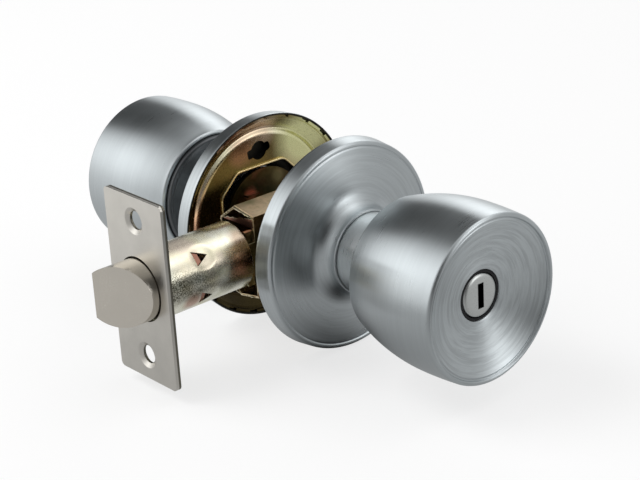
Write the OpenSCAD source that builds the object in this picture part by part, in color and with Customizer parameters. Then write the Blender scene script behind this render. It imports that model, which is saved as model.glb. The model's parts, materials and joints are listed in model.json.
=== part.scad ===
// Tubular knob lock for a bathroom or bedroom door, in millimetres.
// Origin: where the spindle axis (Y) crosses the latch axis (X). +Z is up.
// The latch faceplate looks along -X. The outside knob is at -Y, the inside knob at +Y.
// Revolved pieces are drawn as [radius, height], the height counted from the door face outwards.

/* [Door] */
// Gap between the two roses, which the door fills
door_gap = 33; // [30:0.5:40]
// How far the latch sits from the middle of that gap, towards the inside
latch_offset = 0.6; // [0:0.1:1]
// Distance from the spindle axis to the outer face of the faceplate
backset = 61.5; // [60:0.5:70]

/* [Rose] */
// Radius of a rose at the door
rose_r = 32.5; // [31.5:0.1:34]
// How much a rose narrows from the door to its rounded edge
rose_taper = 0.45; // [0.2:0.05:0.9]
// Height of the rim of a rose
rose_rim_h = 5.35; // [5:0.05:7]
// Radius of the rounded edge of a rose
rose_bead_r = 0.9; // [0.8:0.05:1.2]
// Height of the rose face where its flare starts
rose_face_h = 6.5; // [6.2:0.1:8]
// Radius of the flare between face and collar
flare_r = 5.2; // [5:0.1:6]
// Length of the straight collar above the flare
collar_lip = 0.4; // [0.2:0.1:1]
// Sheet thickness of a rose
rose_wall = 0.7; // [0.6:0.05:0.7]

/* [Mounting plate] */
// Depth of the plate flange, from the door to its hidden side
plate_h = 1.5; // [1.2:0.1:1.8]
// Depth of the flat part of the plate, from the door to its hidden side
plate_flat_h = 3.8; // [3.7:0.1:3.9]
// Distance of the round groove from the edge of the rose
plate_groove_in = 5.4; // [5:0.1:5.6]
// Sheet thickness of a mounting plate
plate_wall = 0.7; // [0.5:0.05:0.8]
// Width of the opening in the plate
opening_w = 31; // [31:0.2:32]
// Height of the opening in the plate
opening_h = 30.8; // [30.8:0.1:31.4]
// Corner cut of the opening
opening_corner = 6.5; // [5.5:0.1:6.6]
// Height of the folded edge round the opening, towards the door
opening_fold = 1.4; // [0.8:0.1:1.6]
// Height of a screw hole above the spindle axis
screw_hole_z = 20.6; // [20.4:0.1:21]
// Radius of the round part of a screw hole
screw_hole_r = 3.3; // [2.5:0.1:3.4]
// Length of the slot across a screw hole
screw_slot_l = 9; // [7:0.1:10]
// Width of the slot across a screw hole
screw_slot_w = 3; // [2:0.1:4]
// Tilt of the slot across a screw hole
screw_slot_tilt = 10; // [0:1:20]

/* [Knob] */
// Largest radius of a knob
knob_r = 25.5; // [25:0.1:27]
// Distance of the largest radius from the door
knob_wide_h = 51; // [48:0.5:54]
// How much a knob narrows from its widest place to its rear edge
rear_taper = 4.3; // [3.9:0.1:4.7]
// Distance of the rear edge of the shell from the door
knob_rear_h = 27; // [26.5:0.1:28]
// Distance of the rim of the knob face from the door
knob_rim_h = 63; // [61:0.5:66]
// How much a knob narrows from its widest place to its rim
rim_taper = 0.45; // [0.2:0.05:0.9]
// Radius of the rounded rim
knob_bead_r = 1; // [0.9:0.05:1.4]
// Radius of the roll at the rear edge of the shell
knob_roll_r = 0.9; // [0.8:0.05:1]
// Depth of the dished face under its rim
dish_depth = 5.3; // [4.5:0.1:6]
// Depth of the fine groove inside the rim
rim_groove = 0.35; // [0.2:0.05:0.5]
// Sheet thickness of a knob shell
knob_wall = 0.7; // [0.6:0.05:0.7]
// Radius of the hole in the middle of the face
face_hole_r = 7.55; // [7.2:0.05:8]

/* [Neck] */
// Radial play between neck and collar
neck_play = 0.25; // [0.2:0.05:0.4]
// Distance of the end wall of the neck from the door
neck_end_h = 2.6; // [2.4:0.1:2.6]
// Radius of the cap on the end of the neck
cap_r = 15; // [14:0.1:15]
// Thickness of that cap
cap_t = 0.6; // [0.5:0.1:0.8]
// How far the two tabs of the cap stand out of it
cap_tab_h = 1.6; // [1:0.1:1.6]
// Distance of the back cover of the knob from the door
cover_h = 26.6; // [26:0.1:27.5]
// Gap between the back cover and the rear edge of the shell
cover_gap = 1.5; // [1.2:0.1:2]
// How far the rolled edge of the cover stands out
cover_bead = 1; // [0.8:0.1:1.4]
// Distance from the door at which the cover meets the shell
cover_seat_h = 38; // [36:0.5:42]
// Sheet thickness of the core
core_wall = 0.7; // [0.6:0.05:0.7]

/* [Return spring] */
// Thickness of the spring driver
driver_t = 0.8; // [0.6:0.1:0.9]
// Radius of the ring of the driver
driver_r = 13.4; // [13:0.1:13.6]
// Radius at the tips of the ears of the driver
driver_ear_r = 15.2; // [14.5:0.1:15.5]
// Width of the ears of the driver
driver_ear_w = 4; // [3:0.5:6]
// Thickness of the retaining ring
ring_t = 0.7; // [0.5:0.05:0.7]
// Depth of the groove for the retaining ring
ring_groove = 0.25; // [0.15:0.05:0.3]
// Wall of the thrust bush
bush_wall = 0.85; // [0.7:0.05:0.9]
// Middle radius of the return spring
torsion_r = 14.2; // [14.1:0.05:14.25]
// Wire thickness of the return spring
torsion_wire = 0.9; // [0.7:0.05:0.95]
// Turns of the return spring
torsion_turns = 1.5; // [1:0.25:1.5]
// How far the bent end of the return spring reaches out
torsion_leg = 1.6; // [0:0.1:1.8]

/* [Spindle and lock] */
// Radius of the spindle
spindle_r = 4.5; // [4.2:0.05:4.6]
// Distance between the two flats of the spindle
spindle_flats = 8; // [7.6:0.1:8.4]
// Radius of the bore of the spindle
spindle_bore_r = 3.2; // [3:0.05:3.3]
// Reach of the spindle into the outside neck, from the door
spindle_reach = 14; // [8:1:20]
// Width of the locking bar
bar_w = 5.4; // [4.8:0.1:5.6]
// Thickness of the locking bar
bar_t = 1.8; // [1.4:0.1:2]
// Low radius of the lock cam
cam_low_r = 4.2; // [4:0.1:4.4]
// Travel of the lock lug over a quarter turn
lug_travel = 1.5; // [1.2:0.1:1.5]
// Thickness of the lock lug
lug_t = 1.4; // [1:0.1:1.4]
// Width of the lock lug
lug_w = 3.2; // [2.4:0.1:4]

/* [Release disc and turn button] */
// Radius of the release disc and of the foot of the turn button
disc_r = 6.55; // [6.2:0.05:6.6]
// How far the disc stands above the edge of the face hole
disc_proud = 0.3; // [0:0.1:1]
// Length of the coin slot
coin_slot_l = 7.2; // [6:0.1:9]
// Width of the coin slot
coin_slot_w = 1.8; // [1.4:0.1:2.4]
// Depth of the coin slot
coin_slot_d = 1.3; // [0.8:0.1:1.6]
// Radius of the shank behind disc and button
shank_r = 3; // [2.9:0.05:3.1]
// Length of the thumb piece of the turn button
thumb_l = 12.6; // [10:0.1:13]
// Thickness of the thumb piece
thumb_t = 3.4; // [2.6:0.1:4]
// Height of the thumb piece
thumb_h = 9; // [7:0.5:12]

/* [Faceplate] */
// Height of the faceplate
face_h = 57; // [56:0.5:60]
// Width of the faceplate
face_w = 27; // [25.4:0.1:28.6]
// Corner radius of the faceplate
face_corner = 1.5; // [1:0.1:4]
// Thickness of the faceplate
face_t = 1; // [0.8:0.1:1.5]
// Thickness of the backing plate
backing_t = 0.8; // [0.6:0.1:1.2]
// Distance between the two fixing screws
screw_pitch = 42; // [41:0.1:43]
// Radius of the fixing holes
fix_hole_r = 2.8; // [2.4:0.1:3.2]
// Radius of the countersink at the face
sink_r = 4.1; // [3.6:0.1:4.6]

/* [Latch] */
// Radius of the latch tube
tube_r = 10.4; // [10.4:0.1:11]
// Wall of the latch tube
tube_wall = 0.7; // [0.6:0.05:0.7]
// Distance of the rear end of the tube from the spindle axis
tube_end = 28; // [27.8:0.1:28.4]
// Play between bolt and tube
bolt_play = 0.25; // [0.2:0.05:0.4]
// How far the bolt stands out of the faceplate
bolt_throw = 11.5; // [11.4:0.1:12]
// How far the bolt still stands out at the low side of its slanted face
bolt_low = 2.4; // [1.5:0.1:4]
// Distance of the flat side of the bolt from its axis
bolt_flat = 6.4; // [6:0.1:6.6]
// Length of the bolt head behind the plates
bolt_guide = 6.9; // [6:0.1:7]
// Turn of the knob that draws the bolt in
knob_turn = 60; // [57:1:60]
// Radius at the finger tips of the latch cam
finger_r = 11.3; // [11:0.1:11.4]
// Free travel of the bolt when it is pushed in by the strike
push_travel = 10.3; // [8:0.1:10.3]

/* [Rear case] */
// Half width of the rear case
case_w2 = 8; // [8:0.1:8.4]
// Height of the rear case over its outside wall, from the axis
case_outside_z = 13.1; // [13:0.1:13.4]
// Height of the rear case over its inside wall, from the axis
case_inside_z = 9.3; // [9.2:0.1:9.6]
// Height of the ridge of the rear case, from the axis
case_ridge_z = 14.6; // [14.6:0.1:15]
// Sheet thickness of the rear case
case_wall = 0.8; // [0.6:0.1:0.8]
// Distance of the front edge of the case from the spindle axis
case_front = 25; // [24:0.5:26]
// Distance of the rear edge of the case behind the spindle axis
case_rear = 14; // [12:0.5:18]

/* [Hidden] */
$fn = 96;

// Clearances: a close fit, a sliding fit and a loose fit
close = 0.05;
slide = 0.15;
loose = 0.3;
// Overshoot of a cut past the face that it opens
cut = 1;

outside_y = door_gap / 2 + latch_offset;
inside_y = door_gap / 2 - latch_offset;

// Mounting plate: gap between its edge and the rose, width of its flange, and its pressed groove,
// which just clears the rose
plate_edge_gap = 0.35;
plate_edge_w = 0.6;
plate_step_w = 1;
plate_groove_h = rose_rim_h - rose_wall - close;
plate_cut_h = plate_groove_h + plate_wall + 2 * cut;
plate_face_h = plate_flat_h - plate_wall;

// Radii that follow the rose and the knob
rose_edge_r = rose_r - rose_taper;
plate_groove_r = rose_r - plate_groove_in;
knob_rear_r = knob_r - rear_taper;
knob_rim_r = knob_r - rim_taper;
cover_r = knob_rear_r - cover_gap;

// The neck fits the collar, whose bore follows from the flare and the rose wall
collar_r = 13.1;
collar_bore_r = collar_r - rose_wall;
neck_r = collar_bore_r - neck_play;
collar_h = rose_face_h + flare_r;
// Fine groove inside the rounded edge of a rose
rose_groove_w = 1.6;
rose_groove_d = 0.15;

neck_bevel = 0.4;
cover_bend_r = 1.2;
cover_bead_r = 0.8;
// Step and flare of the cover inside the shell
cover_step_h = 1.4;
cover_flare_h = 3.2;
cover_flare = 0.6;

// Stack of cap, ring, driver and bush along the neck
cap_h = neck_end_h - close - cap_t;
cap_tab_x = 5.3;
cap_tab_z = 8;
cap_tab_w = 5;
ring_w = 0.8;
ring_r = neck_r + ring_w;
ring_h = neck_end_h + neck_bevel + slide + close;
driver_h = ring_h + ring_t + 2 * close;
bush_h = driver_h + driver_t + slide;
lug_h = bush_h + close;
bush_r = collar_bore_r + bush_wall;
torsion_h = driver_h + driver_t + close + torsion_wire / 2;
torsion_pitch = torsion_wire + close;
// Gap of the open retaining ring
ring_gap = 4;
// Span of the notch in the inside bush, in degrees: the lug at 0 swings from one end to the other
notch_start = 10;
notch_end = -72;

// Barrel of the knob: one arc behind the widest place and one in front of it
barrel_rear_h = knob_rear_h + knob_roll_r;
rear_arc_r = arc_through(knob_wide_h - barrel_rear_h, knob_r - knob_rear_r);
barrel_front_h = knob_rim_h - knob_bead_r;
front_arc_r = arc_through(barrel_front_h - knob_wide_h, knob_r - knob_rim_r);
rim_crest_r = knob_rim_r - knob_bead_r;
rim_lip_w = 1;
groove_r = rim_crest_r - rim_lip_w;
dish_r = groove_r - loose;
dish_h = knob_rim_h - dish_depth;
dish_rise = dish_depth - 2 * rim_groove;
hole_edge_h = dish_at(face_hole_r);

// Disc, its guide, its shank and the clip behind the guide
guide_r = face_hole_r - slide;
guide_depth = 7.2;
guide_floor_h = hole_edge_h - guide_depth;
guide_floor_t = 1.2;
guide_flange_h = hole_edge_h - knob_wall - close;
guide_flange_t = 0.8;
guide_flange_w = 1.9;
guide_sunk = 0.2;
disc_t = 2.2;
disc_bevel = 0.9;
button_bevel = 0.6;
disc_top_h = hole_edge_h + disc_proud;
disc_foot_h = disc_top_h - disc_t;
clip_t = 0.7;
clip_w = 2;
clip_h = guide_floor_h - clip_t - loose;
shank_groove = 0.25;
shank_tip = 1.2;
shank_end_h = clip_h - shank_tip;
bar_seat = 2;
bar_end_h = disc_foot_h - bar_seat;
spindle_end_h = lug_h - 2 * loose;

// Lock: the lug rides on a spiral cam, whose radius grows evenly with the turn
cam_high_r = cam_low_r + lug_travel;
lug_foot_r = cam_low_r + loose;
lug_tip_r = bush_r - lug_travel - 2 * close;
lug_nose_w2 = 0.6;
lug_nose_h = 1.4;

// Latch, measured along X
case_ridge_y = 0.6;
plates_back_x = -backset + face_t + backing_t;
tube_bore_r = tube_r - tube_wall;
bolt_r = tube_bore_r - bolt_play;
bolt_tip_x = -backset - bolt_throw;
bolt_low_x = -backset - bolt_low;
bolt_rear_x = plates_back_x + bolt_guide;
hole_play = 0.45;
lance_l = 4.4;
lance_w = 4.8;
lance_x = (plates_back_x - tube_end) / 2 - 1;
lance_tilts = [42, -30];

// Pocket for the bolt spring, and the slot and pin that hold the tail in the head
pocket_r = 4.4;
pocket_x = -backset + 0.5;
tail_seat = 4.6;
tail_root_z = 5.1;
pin_r = 1.2;
pin_x = bolt_rear_x - tail_seat / 2;
coil_r = 3.35;
coil_wire = 0.9;
coil_turns = 11;

// The bolt travels as far as the finger tip moves along X
start_angle = knob_turn / 2;
draw_travel = 2 * finger_r * sin(start_angle);
total_travel = draw_travel + push_travel;
finger_tip_r = 1.2;
finger_w = 1.8;
finger_t = 3.2;
hub_r = 7;

// Layers across the latch, along Y
case_inner = case_w2 - case_wall;
tail_y = -case_inner + loose;
tail_t = 1.2;
layer_gap = 0.2;
retractor_y = tail_y + tail_t + layer_gap;
retractor_t = 1.3;
hub_y0 = retractor_y + retractor_t + loose + layer_gap;
hub_y1 = case_inner - loose;
hub_collar_r = 5.6;
hub_collar_y = case_w2 + 0.6;
spindle_slot_z = spindle_r + 0.4;

seat_x = bolt_rear_x + total_travel + layer_gap;
seat_t = 1;
seat_nose = 4;

// Fork of the tail, the windows it hooks into and the lugs that the cam pushes
arm_x0 = -tube_end + 0.4;
arm_reach = 5.8;
arm_x1 = -hub_r - finger_tip_r - arm_reach;
arm_z0 = spindle_r + 0.7;
arm_z1 = 8.6;
web_x1 = -spindle_r - layer_gap - total_travel;
web_z = 6.3;
tail_lug_x = arm_x1 - tail_t;
window_z0 = arm_z0 + 1;
window_z1 = arm_z1 + layer_gap;
cam_lug_x = -finger_r * sin(start_angle) + finger_tip_r + slide + 2 * close;
cam_lug_t = 2;
cam_lug_z0 = finger_r * cos(start_angle) - loose;
cam_lug_h = 1.4;
cam_lug_z1 = cam_lug_z0 + cam_lug_h;
retractor_z = 10.6;
retractor_front_w = 2;
retractor_rear_w = 1.4;

steel = "#a3a8ac";
steel_dark = "#8d9296";
nickel = "#b2aea3";
zinc = "#a3904f";
zinc_dark = "#857238";
copper = "#9c5a48";
nylon = "#1f1f21";

// Radius of the arc that rises by d over a half chord of length l
function arc_through(l, d) = (l * l + d * d) / (2 * d);

// Points of an arc round c with radius r, from angle a0 to a1 in n steps
function arc(c, r, a0, a1, n) =
    [for (i = [0:n]) let (a = a0 + (a1 - a0) * i / n) c + r * [cos(a), sin(a)]];

// Unit vectors to the left of each piece of a path
function left_of(p) =
    [for (i = [0:len(p) - 2])
        let (d = (p[i + 1] - p[i]) / norm(p[i + 1] - p[i])) [-d[1], d[0]]];

// A path moved to its left by t, with mitred corners
function beside(p, t) =
    let (n = left_of(p))
    [for (i = [0:len(p) - 1])
        let (a = n[max(i - 1, 0)], b = n[min(i, len(n) - 1)]) p[i] + t * (a + b) / (1 + a * b)];

// A closed outline, drawn anticlockwise, shrunk by t
function shrunk(p, t) =
    let (c = len(p), n = left_of(concat(p, [p[0]])))
    [for (i = [0:c - 1])
        let (a = n[(i + c - 1) % c], b = n[i]) p[i] + t * (a + b) / (1 + a * b)];

// Closed outline of a sheet of thickness t, whose outer face follows path p
function sheet(p, t) =
    let (q = beside(p, t)) concat(p, [for (i = [len(q) - 1:-1:0]) q[i]]);

// Radius of the barrel at height h
function barrel_at(h) = h < knob_wide_h
    ? knob_r - rear_arc_r + sqrt(pow(rear_arc_r, 2) - pow(knob_wide_h - h, 2))
    : knob_r - front_arc_r + sqrt(pow(front_arc_r, 2) - pow(h - knob_wide_h, 2));

// Height of the dished face at radius r
function dish_at(r) = dish_h + dish_rise * pow(r / dish_r, 2);

// Outline of an opening with cut corners
function cut_corners(w, h, c) =
    [[-w / 2 + c, -h / 2], [w / 2 - c, -h / 2], [w / 2, -h / 2 + c], [w / 2, h / 2 - c],
     [w / 2 - c, h / 2], [-w / 2 + c, h / 2], [-w / 2, h / 2 - c], [-w / 2, -h / 2 + c]];

// Paths of the revolved sheets
function rose_path() = concat(
    [[rose_r, 0], [rose_edge_r, rose_rim_h - rose_bead_r]],
    arc([rose_edge_r - rose_bead_r, rose_rim_h - rose_bead_r], rose_bead_r, 18, 90, 5),
    [[rose_edge_r - rose_bead_r - rose_groove_w / 2, rose_rim_h - rose_groove_d],
     [rose_edge_r - rose_bead_r - rose_groove_w, rose_rim_h]],
    arc([collar_r + flare_r, rose_face_h + flare_r], flare_r, 265, 180, 10),
    [[collar_r, collar_h + collar_lip]]);

function plate_path() =
    let (edge = rose_r - rose_wall - plate_edge_gap, r = plate_groove_r, w = plate_step_w)
    [[edge, plate_h], [edge - plate_edge_w, plate_h], [r + w / 2, plate_groove_h],
     [r - w / 2, plate_groove_h], [r - w, plate_flat_h], [neck_r, plate_flat_h]];

function shell_path() = concat(
    arc([knob_rear_r - knob_roll_r, barrel_rear_h], knob_roll_r, 270, 352, 5),
    [for (i = [1:9]) let (h = barrel_rear_h + (knob_wide_h - barrel_rear_h) * i / 9)
        [barrel_at(h), h]],
    [for (i = [1:4]) let (h = knob_wide_h + (barrel_front_h - knob_wide_h) * i / 4)
        [barrel_at(h), h]],
    arc([rim_crest_r, barrel_front_h], knob_bead_r, 12, 90, 5),
    [[rim_crest_r - rim_lip_w / 2, knob_rim_h - slide],
     [groove_r, knob_rim_h - 2 * rim_groove - slide]],
    [for (i = [0:10]) let (r = dish_r - (dish_r - face_hole_r) * i / 10) [r, dish_at(r)]]);

function core_path() = concat(
    [[spindle_bore_r, neck_end_h], [neck_r - neck_bevel, neck_end_h]],
    [[neck_r, neck_end_h + neck_bevel], [neck_r, cover_h - cover_bend_r]],
    arc([neck_r + cover_bend_r, cover_h - cover_bend_r], cover_bend_r, 150, 90, 3),
    [[cover_r - 3 * cover_bead_r, cover_h], [cover_r - 2 * cover_bead_r, cover_h - cover_bead / 2]],
    arc([cover_r - cover_bead_r, cover_h - cover_bead + cover_bead_r], cover_bead_r, 240, 360, 6),
    [[cover_r, cover_h + cover_step_h], [cover_r + cover_flare, cover_h + cover_flare_h],
     [barrel_at(cover_seat_h) - knob_wall - slide, cover_seat_h]]);

// Frames of the two sides: local Z points away from the door, local Y is up
module outside() translate([0, -outside_y, 0]) rotate([90, 0, 0]) children();
module inside() mirror([0, 1, 0]) translate([0, -inside_y, 0]) rotate([90, 0, 0]) children();

// Along X: local X becomes Y and local Y becomes Z
module along_x(x0, x1) translate([x0, 0, 0]) rotate([90, 0, 90]) linear_extrude(x1 - x0) children();

// Across Y: the outline is drawn in X and Z
module across_y(y0, y1)
    translate([0, y1, 0]) rotate([90, 0, 0]) linear_extrude(y1 - y0) children();

// A ring between two radii and two heights
module ring(r0, r1, h0, h1)
    translate([0, 0, h0]) difference() {
        cylinder(r = r1, h = h1 - h0);
        translate([0, 0, -cut]) cylinder(r = r0, h = h1 - h0 + 2 * cut);
    }

// A coil of round wire about Z: radius r, wire w, pitch p, n turns, starting at height h.
// Its start bends outwards by leg.
module coil(r, w, p, n, h, leg = 0, steps = 22, sides = 7) {
    count = round(n * steps);
    points = [for (i = [0:count], j = [0:sides - 1])
        let (a = 360 * i / steps, b = 360 * j / sides, q = r + leg * max(0, 1 - i / 3) + w / 2 * cos(b))
        [q * cos(a), q * sin(a), h + p * i / steps + w / 2 * sin(b)]];
    walls = [for (i = [0:count - 1], j = [0:sides - 1])
        let (k = (j + 1) % sides)
        [i * sides + j, (i + 1) * sides + j, (i + 1) * sides + k, i * sides + k]];
    start = [for (j = [0:sides - 1]) j];
    end = [for (j = [sides - 1:-1:0]) count * sides + j];
    polyhedron(points, concat([start], walls, [end]), 6);
}

// Section of the spindle, grown by a clearance
module spindle_section(gap = 0)
    intersection() {
        circle(r = spindle_r + gap);
        square([3 * spindle_r, spindle_flats + 2 * gap], center = true);
    }

// Rose: one drawn stainless sheet
module rose() color(steel) rotate_extrude() polygon(sheet(rose_path(), rose_wall));

// Mounting plate: drawn sheet with a folded opening and two screw holes
module mounting_plate()
    color(zinc) {
        difference() {
            rotate_extrude() polygon(sheet(plate_path(), plate_wall));
            translate([0, 0, -cut]) linear_extrude(plate_cut_h)
                polygon(cut_corners(opening_w, opening_h, opening_corner));
            for (side = [-1, 1])
                translate([0, side * screw_hole_z, -cut]) {
                    cylinder(r = screw_hole_r, h = plate_cut_h);
                    rotate([0, 0, side * screw_slot_tilt])
                        translate([-screw_slot_l / 2, -screw_slot_w / 2, 0])
                            cube([screw_slot_l, screw_slot_w, plate_cut_h]);
                }
        }
        translate([0, 0, plate_face_h - opening_fold]) linear_extrude(opening_fold + close)
            difference() {
                polygon(cut_corners(opening_w + 2 * plate_wall, opening_h + 2 * plate_wall,
                                    opening_corner + (2 - sqrt(2)) * plate_wall));
                polygon(cut_corners(opening_w, opening_h, opening_corner));
            }
    }

// Thrust bush: its lower skirt is open where the lock lug swings
module thrust_bush(notched)
    color(nylon) difference() {
        ring(collar_bore_r, bush_r, bush_h, bush_top(bush_r));
        if (notched)
            translate([0, 0, bush_h - cut]) linear_extrude(lug_t + slide + 2 * close + cut)
                polygon(concat([[0, 0]], arc([0, 0], 2 * bush_r, notch_start, notch_end, 6)));
    }

// Height at which the inner face of the flare meets radius r
function bush_top(r) =
    collar_h - sqrt(pow(flare_r + rose_wall, 2) - pow(collar_r + flare_r - r, 2)) - 2 * close;

// Return spring: a short coil round the bush, with a bent end that the driver loads
module return_spring()
    color(steel_dark)
        coil(torsion_r, torsion_wire, torsion_pitch, torsion_turns, torsion_h, torsion_leg);

// Spring driver: a ring keyed to the neck, with two ears that load the spring
module spring_driver()
    color(zinc_dark) difference() {
        union() {
            translate([0, 0, driver_h]) cylinder(r = driver_r, h = driver_t);
            for (side = [-1, 1])
                translate([side > 0 ? 0 : -driver_ear_r, -driver_ear_w / 2, driver_h])
                    cube([driver_ear_r, driver_ear_w, driver_t]);
        }
        translate([0, 0, driver_h - cut]) cylinder(r = neck_r + close, h = driver_t + 2 * cut);
    }

// Retaining ring: an open ring that snaps into the groove of the neck
module retaining_ring()
    color(steel_dark) difference() {
        ring(neck_r - ring_groove + close, ring_r, ring_h, ring_h + ring_t);
        translate([-ring_gap / 2, -opening_w, ring_h - cut])
            cube([ring_gap, opening_w, ring_t + 2 * cut]);
    }

// End cap: a disc riveted on the end of the neck, with two lanced tabs
module end_cap()
    color(zinc) difference() {
        union() {
            translate([0, 0, cap_h]) cylinder(r = cap_r, h = cap_t);
            for (side = [-1, 1])
                translate([side * cap_tab_x - cap_tab_w / 2, -side * cap_tab_z - cap_t / 2,
                           cap_h - cap_tab_h])
                    cube([cap_tab_w, cap_t, cap_tab_h + close]);
        }
        translate([0, 0, cap_h - cut]) linear_extrude(cap_t + 2 * cut) spindle_section(close);
    }

// Knob core: neck, end wall and back cover in one drawn piece
module knob_core(lug_slot)
    color(steel_dark) difference() {
        rotate_extrude() polygon(sheet(core_path(), core_wall));
        translate([0, 0, neck_end_h - cut])
            linear_extrude(core_wall + 2 * cut) spindle_section(close);
        ring(neck_r - ring_groove, neck_r + cut, ring_h - close, ring_h + ring_t + close);
        if (lug_slot)
            translate([0, -lug_w / 2 - slide, lug_h - close])
                cube([neck_r + cut, lug_w + 2 * slide, lug_t + 2 * close]);
    }

// Knob shell: one spun sheet, from the rolled rear edge to the hole in the face
module knob_shell() color(steel) rotate_extrude() polygon(sheet(shell_path(), knob_wall));

// Guide of the disc or of the turn button, snapped into the face hole
module face_guide()
    color(nylon) rotate_extrude() polygon([
        [shank_r + slide, guide_floor_h], [guide_r, guide_floor_h],
        [guide_r, guide_flange_h - guide_flange_t],
        [guide_r + guide_flange_w, guide_flange_h - guide_flange_t],
        [guide_r + guide_flange_w, guide_flange_h], [guide_r, guide_flange_h],
        [guide_r, hole_edge_h - guide_sunk], [disc_r + slide, hole_edge_h - guide_sunk],
        [disc_r + slide, guide_floor_h + guide_floor_t],
        [shank_r + slide, guide_floor_h + guide_floor_t]]);

// Shank with a slot for the end of the locking bar and a groove for its clip
module shank()
    difference() {
        translate([0, 0, shank_end_h]) cylinder(r = shank_r, h = disc_foot_h - shank_end_h + close);
        translate([-bar_w / 2 - close, -bar_t / 2 - close, shank_end_h - cut])
            cube([bar_w + 2 * close, bar_t + 2 * close, bar_end_h - shank_end_h + cut + close]);
        ring(shank_r - shank_groove, shank_r + cut, clip_h - close, clip_h + clip_t + close);
    }

// Open clip in the groove of the shank, behind the guide
module shank_clip()
    color(steel_dark) difference() {
        ring(shank_r - shank_groove + close, shank_r + clip_w, clip_h, clip_h + clip_t);
        translate([-clip_w / 2, -2 * shank_r, clip_h - cut])
            cube([clip_w, 2 * shank_r, clip_t + 2 * cut]);
    }

// Slotted disc that opens the lock from outside with a coin
module release_disc()
    color(nickel) {
        difference() {
            rotate_extrude() polygon([
                [0, disc_foot_h], [disc_r, disc_foot_h], [disc_r, disc_top_h - disc_bevel],
                [disc_r - 0.4 * disc_bevel, disc_top_h - 0.4 * disc_bevel],
                [disc_r - 1.2 * disc_bevel, disc_top_h - 0.1 * disc_bevel],
                [disc_r - 3 * disc_bevel, disc_top_h], [0, disc_top_h]]);
            translate([-coin_slot_w / 2, -coin_slot_l / 2, disc_top_h - coin_slot_d])
                cube([coin_slot_w, coin_slot_l, coin_slot_d + cut]);
        }
        shank();
    }

// Turn button with an oval thumb piece
module turn_button()
    color(nickel) {
        rotate_extrude() polygon([
            [0, disc_foot_h], [disc_r, disc_foot_h], [disc_r, disc_top_h - button_bevel],
            [disc_r - button_bevel, disc_top_h], [0, disc_top_h]]);
        translate([0, 0, disc_top_h - close]) intersection() {
            translate([-thumb_t / 2, -thumb_l / 2, 0]) cube([thumb_t, thumb_l, thumb_h]);
            translate([0, 0, thumb_h - thumb_l / 2]) rotate([0, 90, 0])
                cylinder(d = thumb_l, h = thumb_t, center = true);
        }
        shank();
    }

// Spindle: a tube with two flats, fixed in the outside neck
module spindle()
    color(zinc) translate([0, inside_y + spindle_end_h, 0]) rotate([90, 0, 0])
        linear_extrude(outside_y + spindle_reach + inside_y + spindle_end_h) difference() {
            spindle_section();
            circle(r = spindle_bore_r);
        }

// Locking bar from the release disc to the turn button
module locking_bar()
    color(steel_dark) translate([-bar_w / 2, -outside_y - bar_end_h, -bar_t / 2])
        cube([bar_w, outside_y + inside_y + 2 * bar_end_h, bar_t]);

// Spiral cam on the locking bar
module lock_cam()
    color(zinc_dark) inside() translate([0, 0, lug_h]) difference() {
        linear_extrude(lug_t) polygon(concat(
            [for (b = [0:10:90]) let (r = cam_low_r + lug_travel * b / 90)
                r * [cos(b), sin(b)]],
            [for (b = [100:20:180]) let (r = cam_high_r - lug_travel * (b - 100) / 80)
                r * [cos(b), sin(b)]],
            [for (b = [195:15:345]) cam_low_r * [cos(b), sin(b)]]));
        translate([-bar_w / 2 - close, -bar_t / 2 - close, -cut])
            cube([bar_w + 2 * close, bar_t + 2 * close, lug_t + 2 * cut]);
    }

// Lug that the cam pushes out of the neck into the notch of the bush
module lock_lug()
    color(copper) inside() translate([0, 0, lug_h]) linear_extrude(lug_t) polygon([
        [lug_foot_r, -lug_nose_w2], [lug_foot_r + lug_nose_h, -lug_w / 2],
        [lug_tip_r, -lug_w / 2], [lug_tip_r, lug_w / 2],
        [lug_foot_r + lug_nose_h, lug_w / 2], [lug_foot_r, lug_nose_w2]]);

// Outline of a latch plate with round corners, drawn in Y and Z
module round_plate() {
    square([face_w - 2 * face_corner, face_h], center = true);
    square([face_w, face_h - 2 * face_corner], center = true);
    for (y = [-1, 1], z = [-1, 1])
        translate([y * (face_w / 2 - face_corner), z * (face_h / 2 - face_corner)])
            circle(r = face_corner);
}

// D-shaped section of the bolt, grown by a clearance
module bolt_section(gap = 0)
    intersection() {
        circle(r = bolt_r + gap);
        translate([-2 * bolt_r, -2 * bolt_r]) square([2 * bolt_r + bolt_flat + gap, 4 * bolt_r]);
    }

module faceplate()
    color(nickel) difference() {
        along_x(-backset, -backset + face_t) difference() {
            round_plate();
            bolt_section(hole_play);
        }
        for (side = [-1, 1])
            translate([-backset, 0, side * screw_pitch / 2]) rotate([0, 90, 0]) {
                translate([0, 0, -cut]) cylinder(r = fix_hole_r, h = face_t + 2 * cut);
                cylinder(r1 = sink_r, r2 = fix_hole_r, h = face_t - 2 * close);
            }
    }

module backing_plate()
    color(nickel) difference() {
        along_x(-backset + face_t, plates_back_x) difference() {
            round_plate();
            bolt_section(hole_play);
        }
        for (side = [-1, 1])
            translate([-backset, 0, side * screw_pitch / 2]) rotate([0, 90, 0])
                cylinder(r = fix_hole_r, h = face_t + backing_t + cut);
    }

// Latch tube with the two lances that hold what is inside
module latch_tube()
    color(zinc) difference() {
        translate([plates_back_x, 0, 0]) rotate([0, 90, 0])
            difference() {
                cylinder(r = tube_r, h = -tube_end - plates_back_x);
                translate([0, 0, -cut])
                    cylinder(r = tube_bore_r, h = -tube_end - plates_back_x + 2 * cut);
            }
        for (tilt = lance_tilts)
            translate([lance_x, 0, 0]) rotate([90 - tilt, 0, 0])
                linear_extrude(tube_r + cut)
                    polygon([[-lance_l / 2, -lance_w / 2], [lance_l / 2, 0],
                             [-lance_l / 2, lance_w / 2]]);
    }

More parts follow.
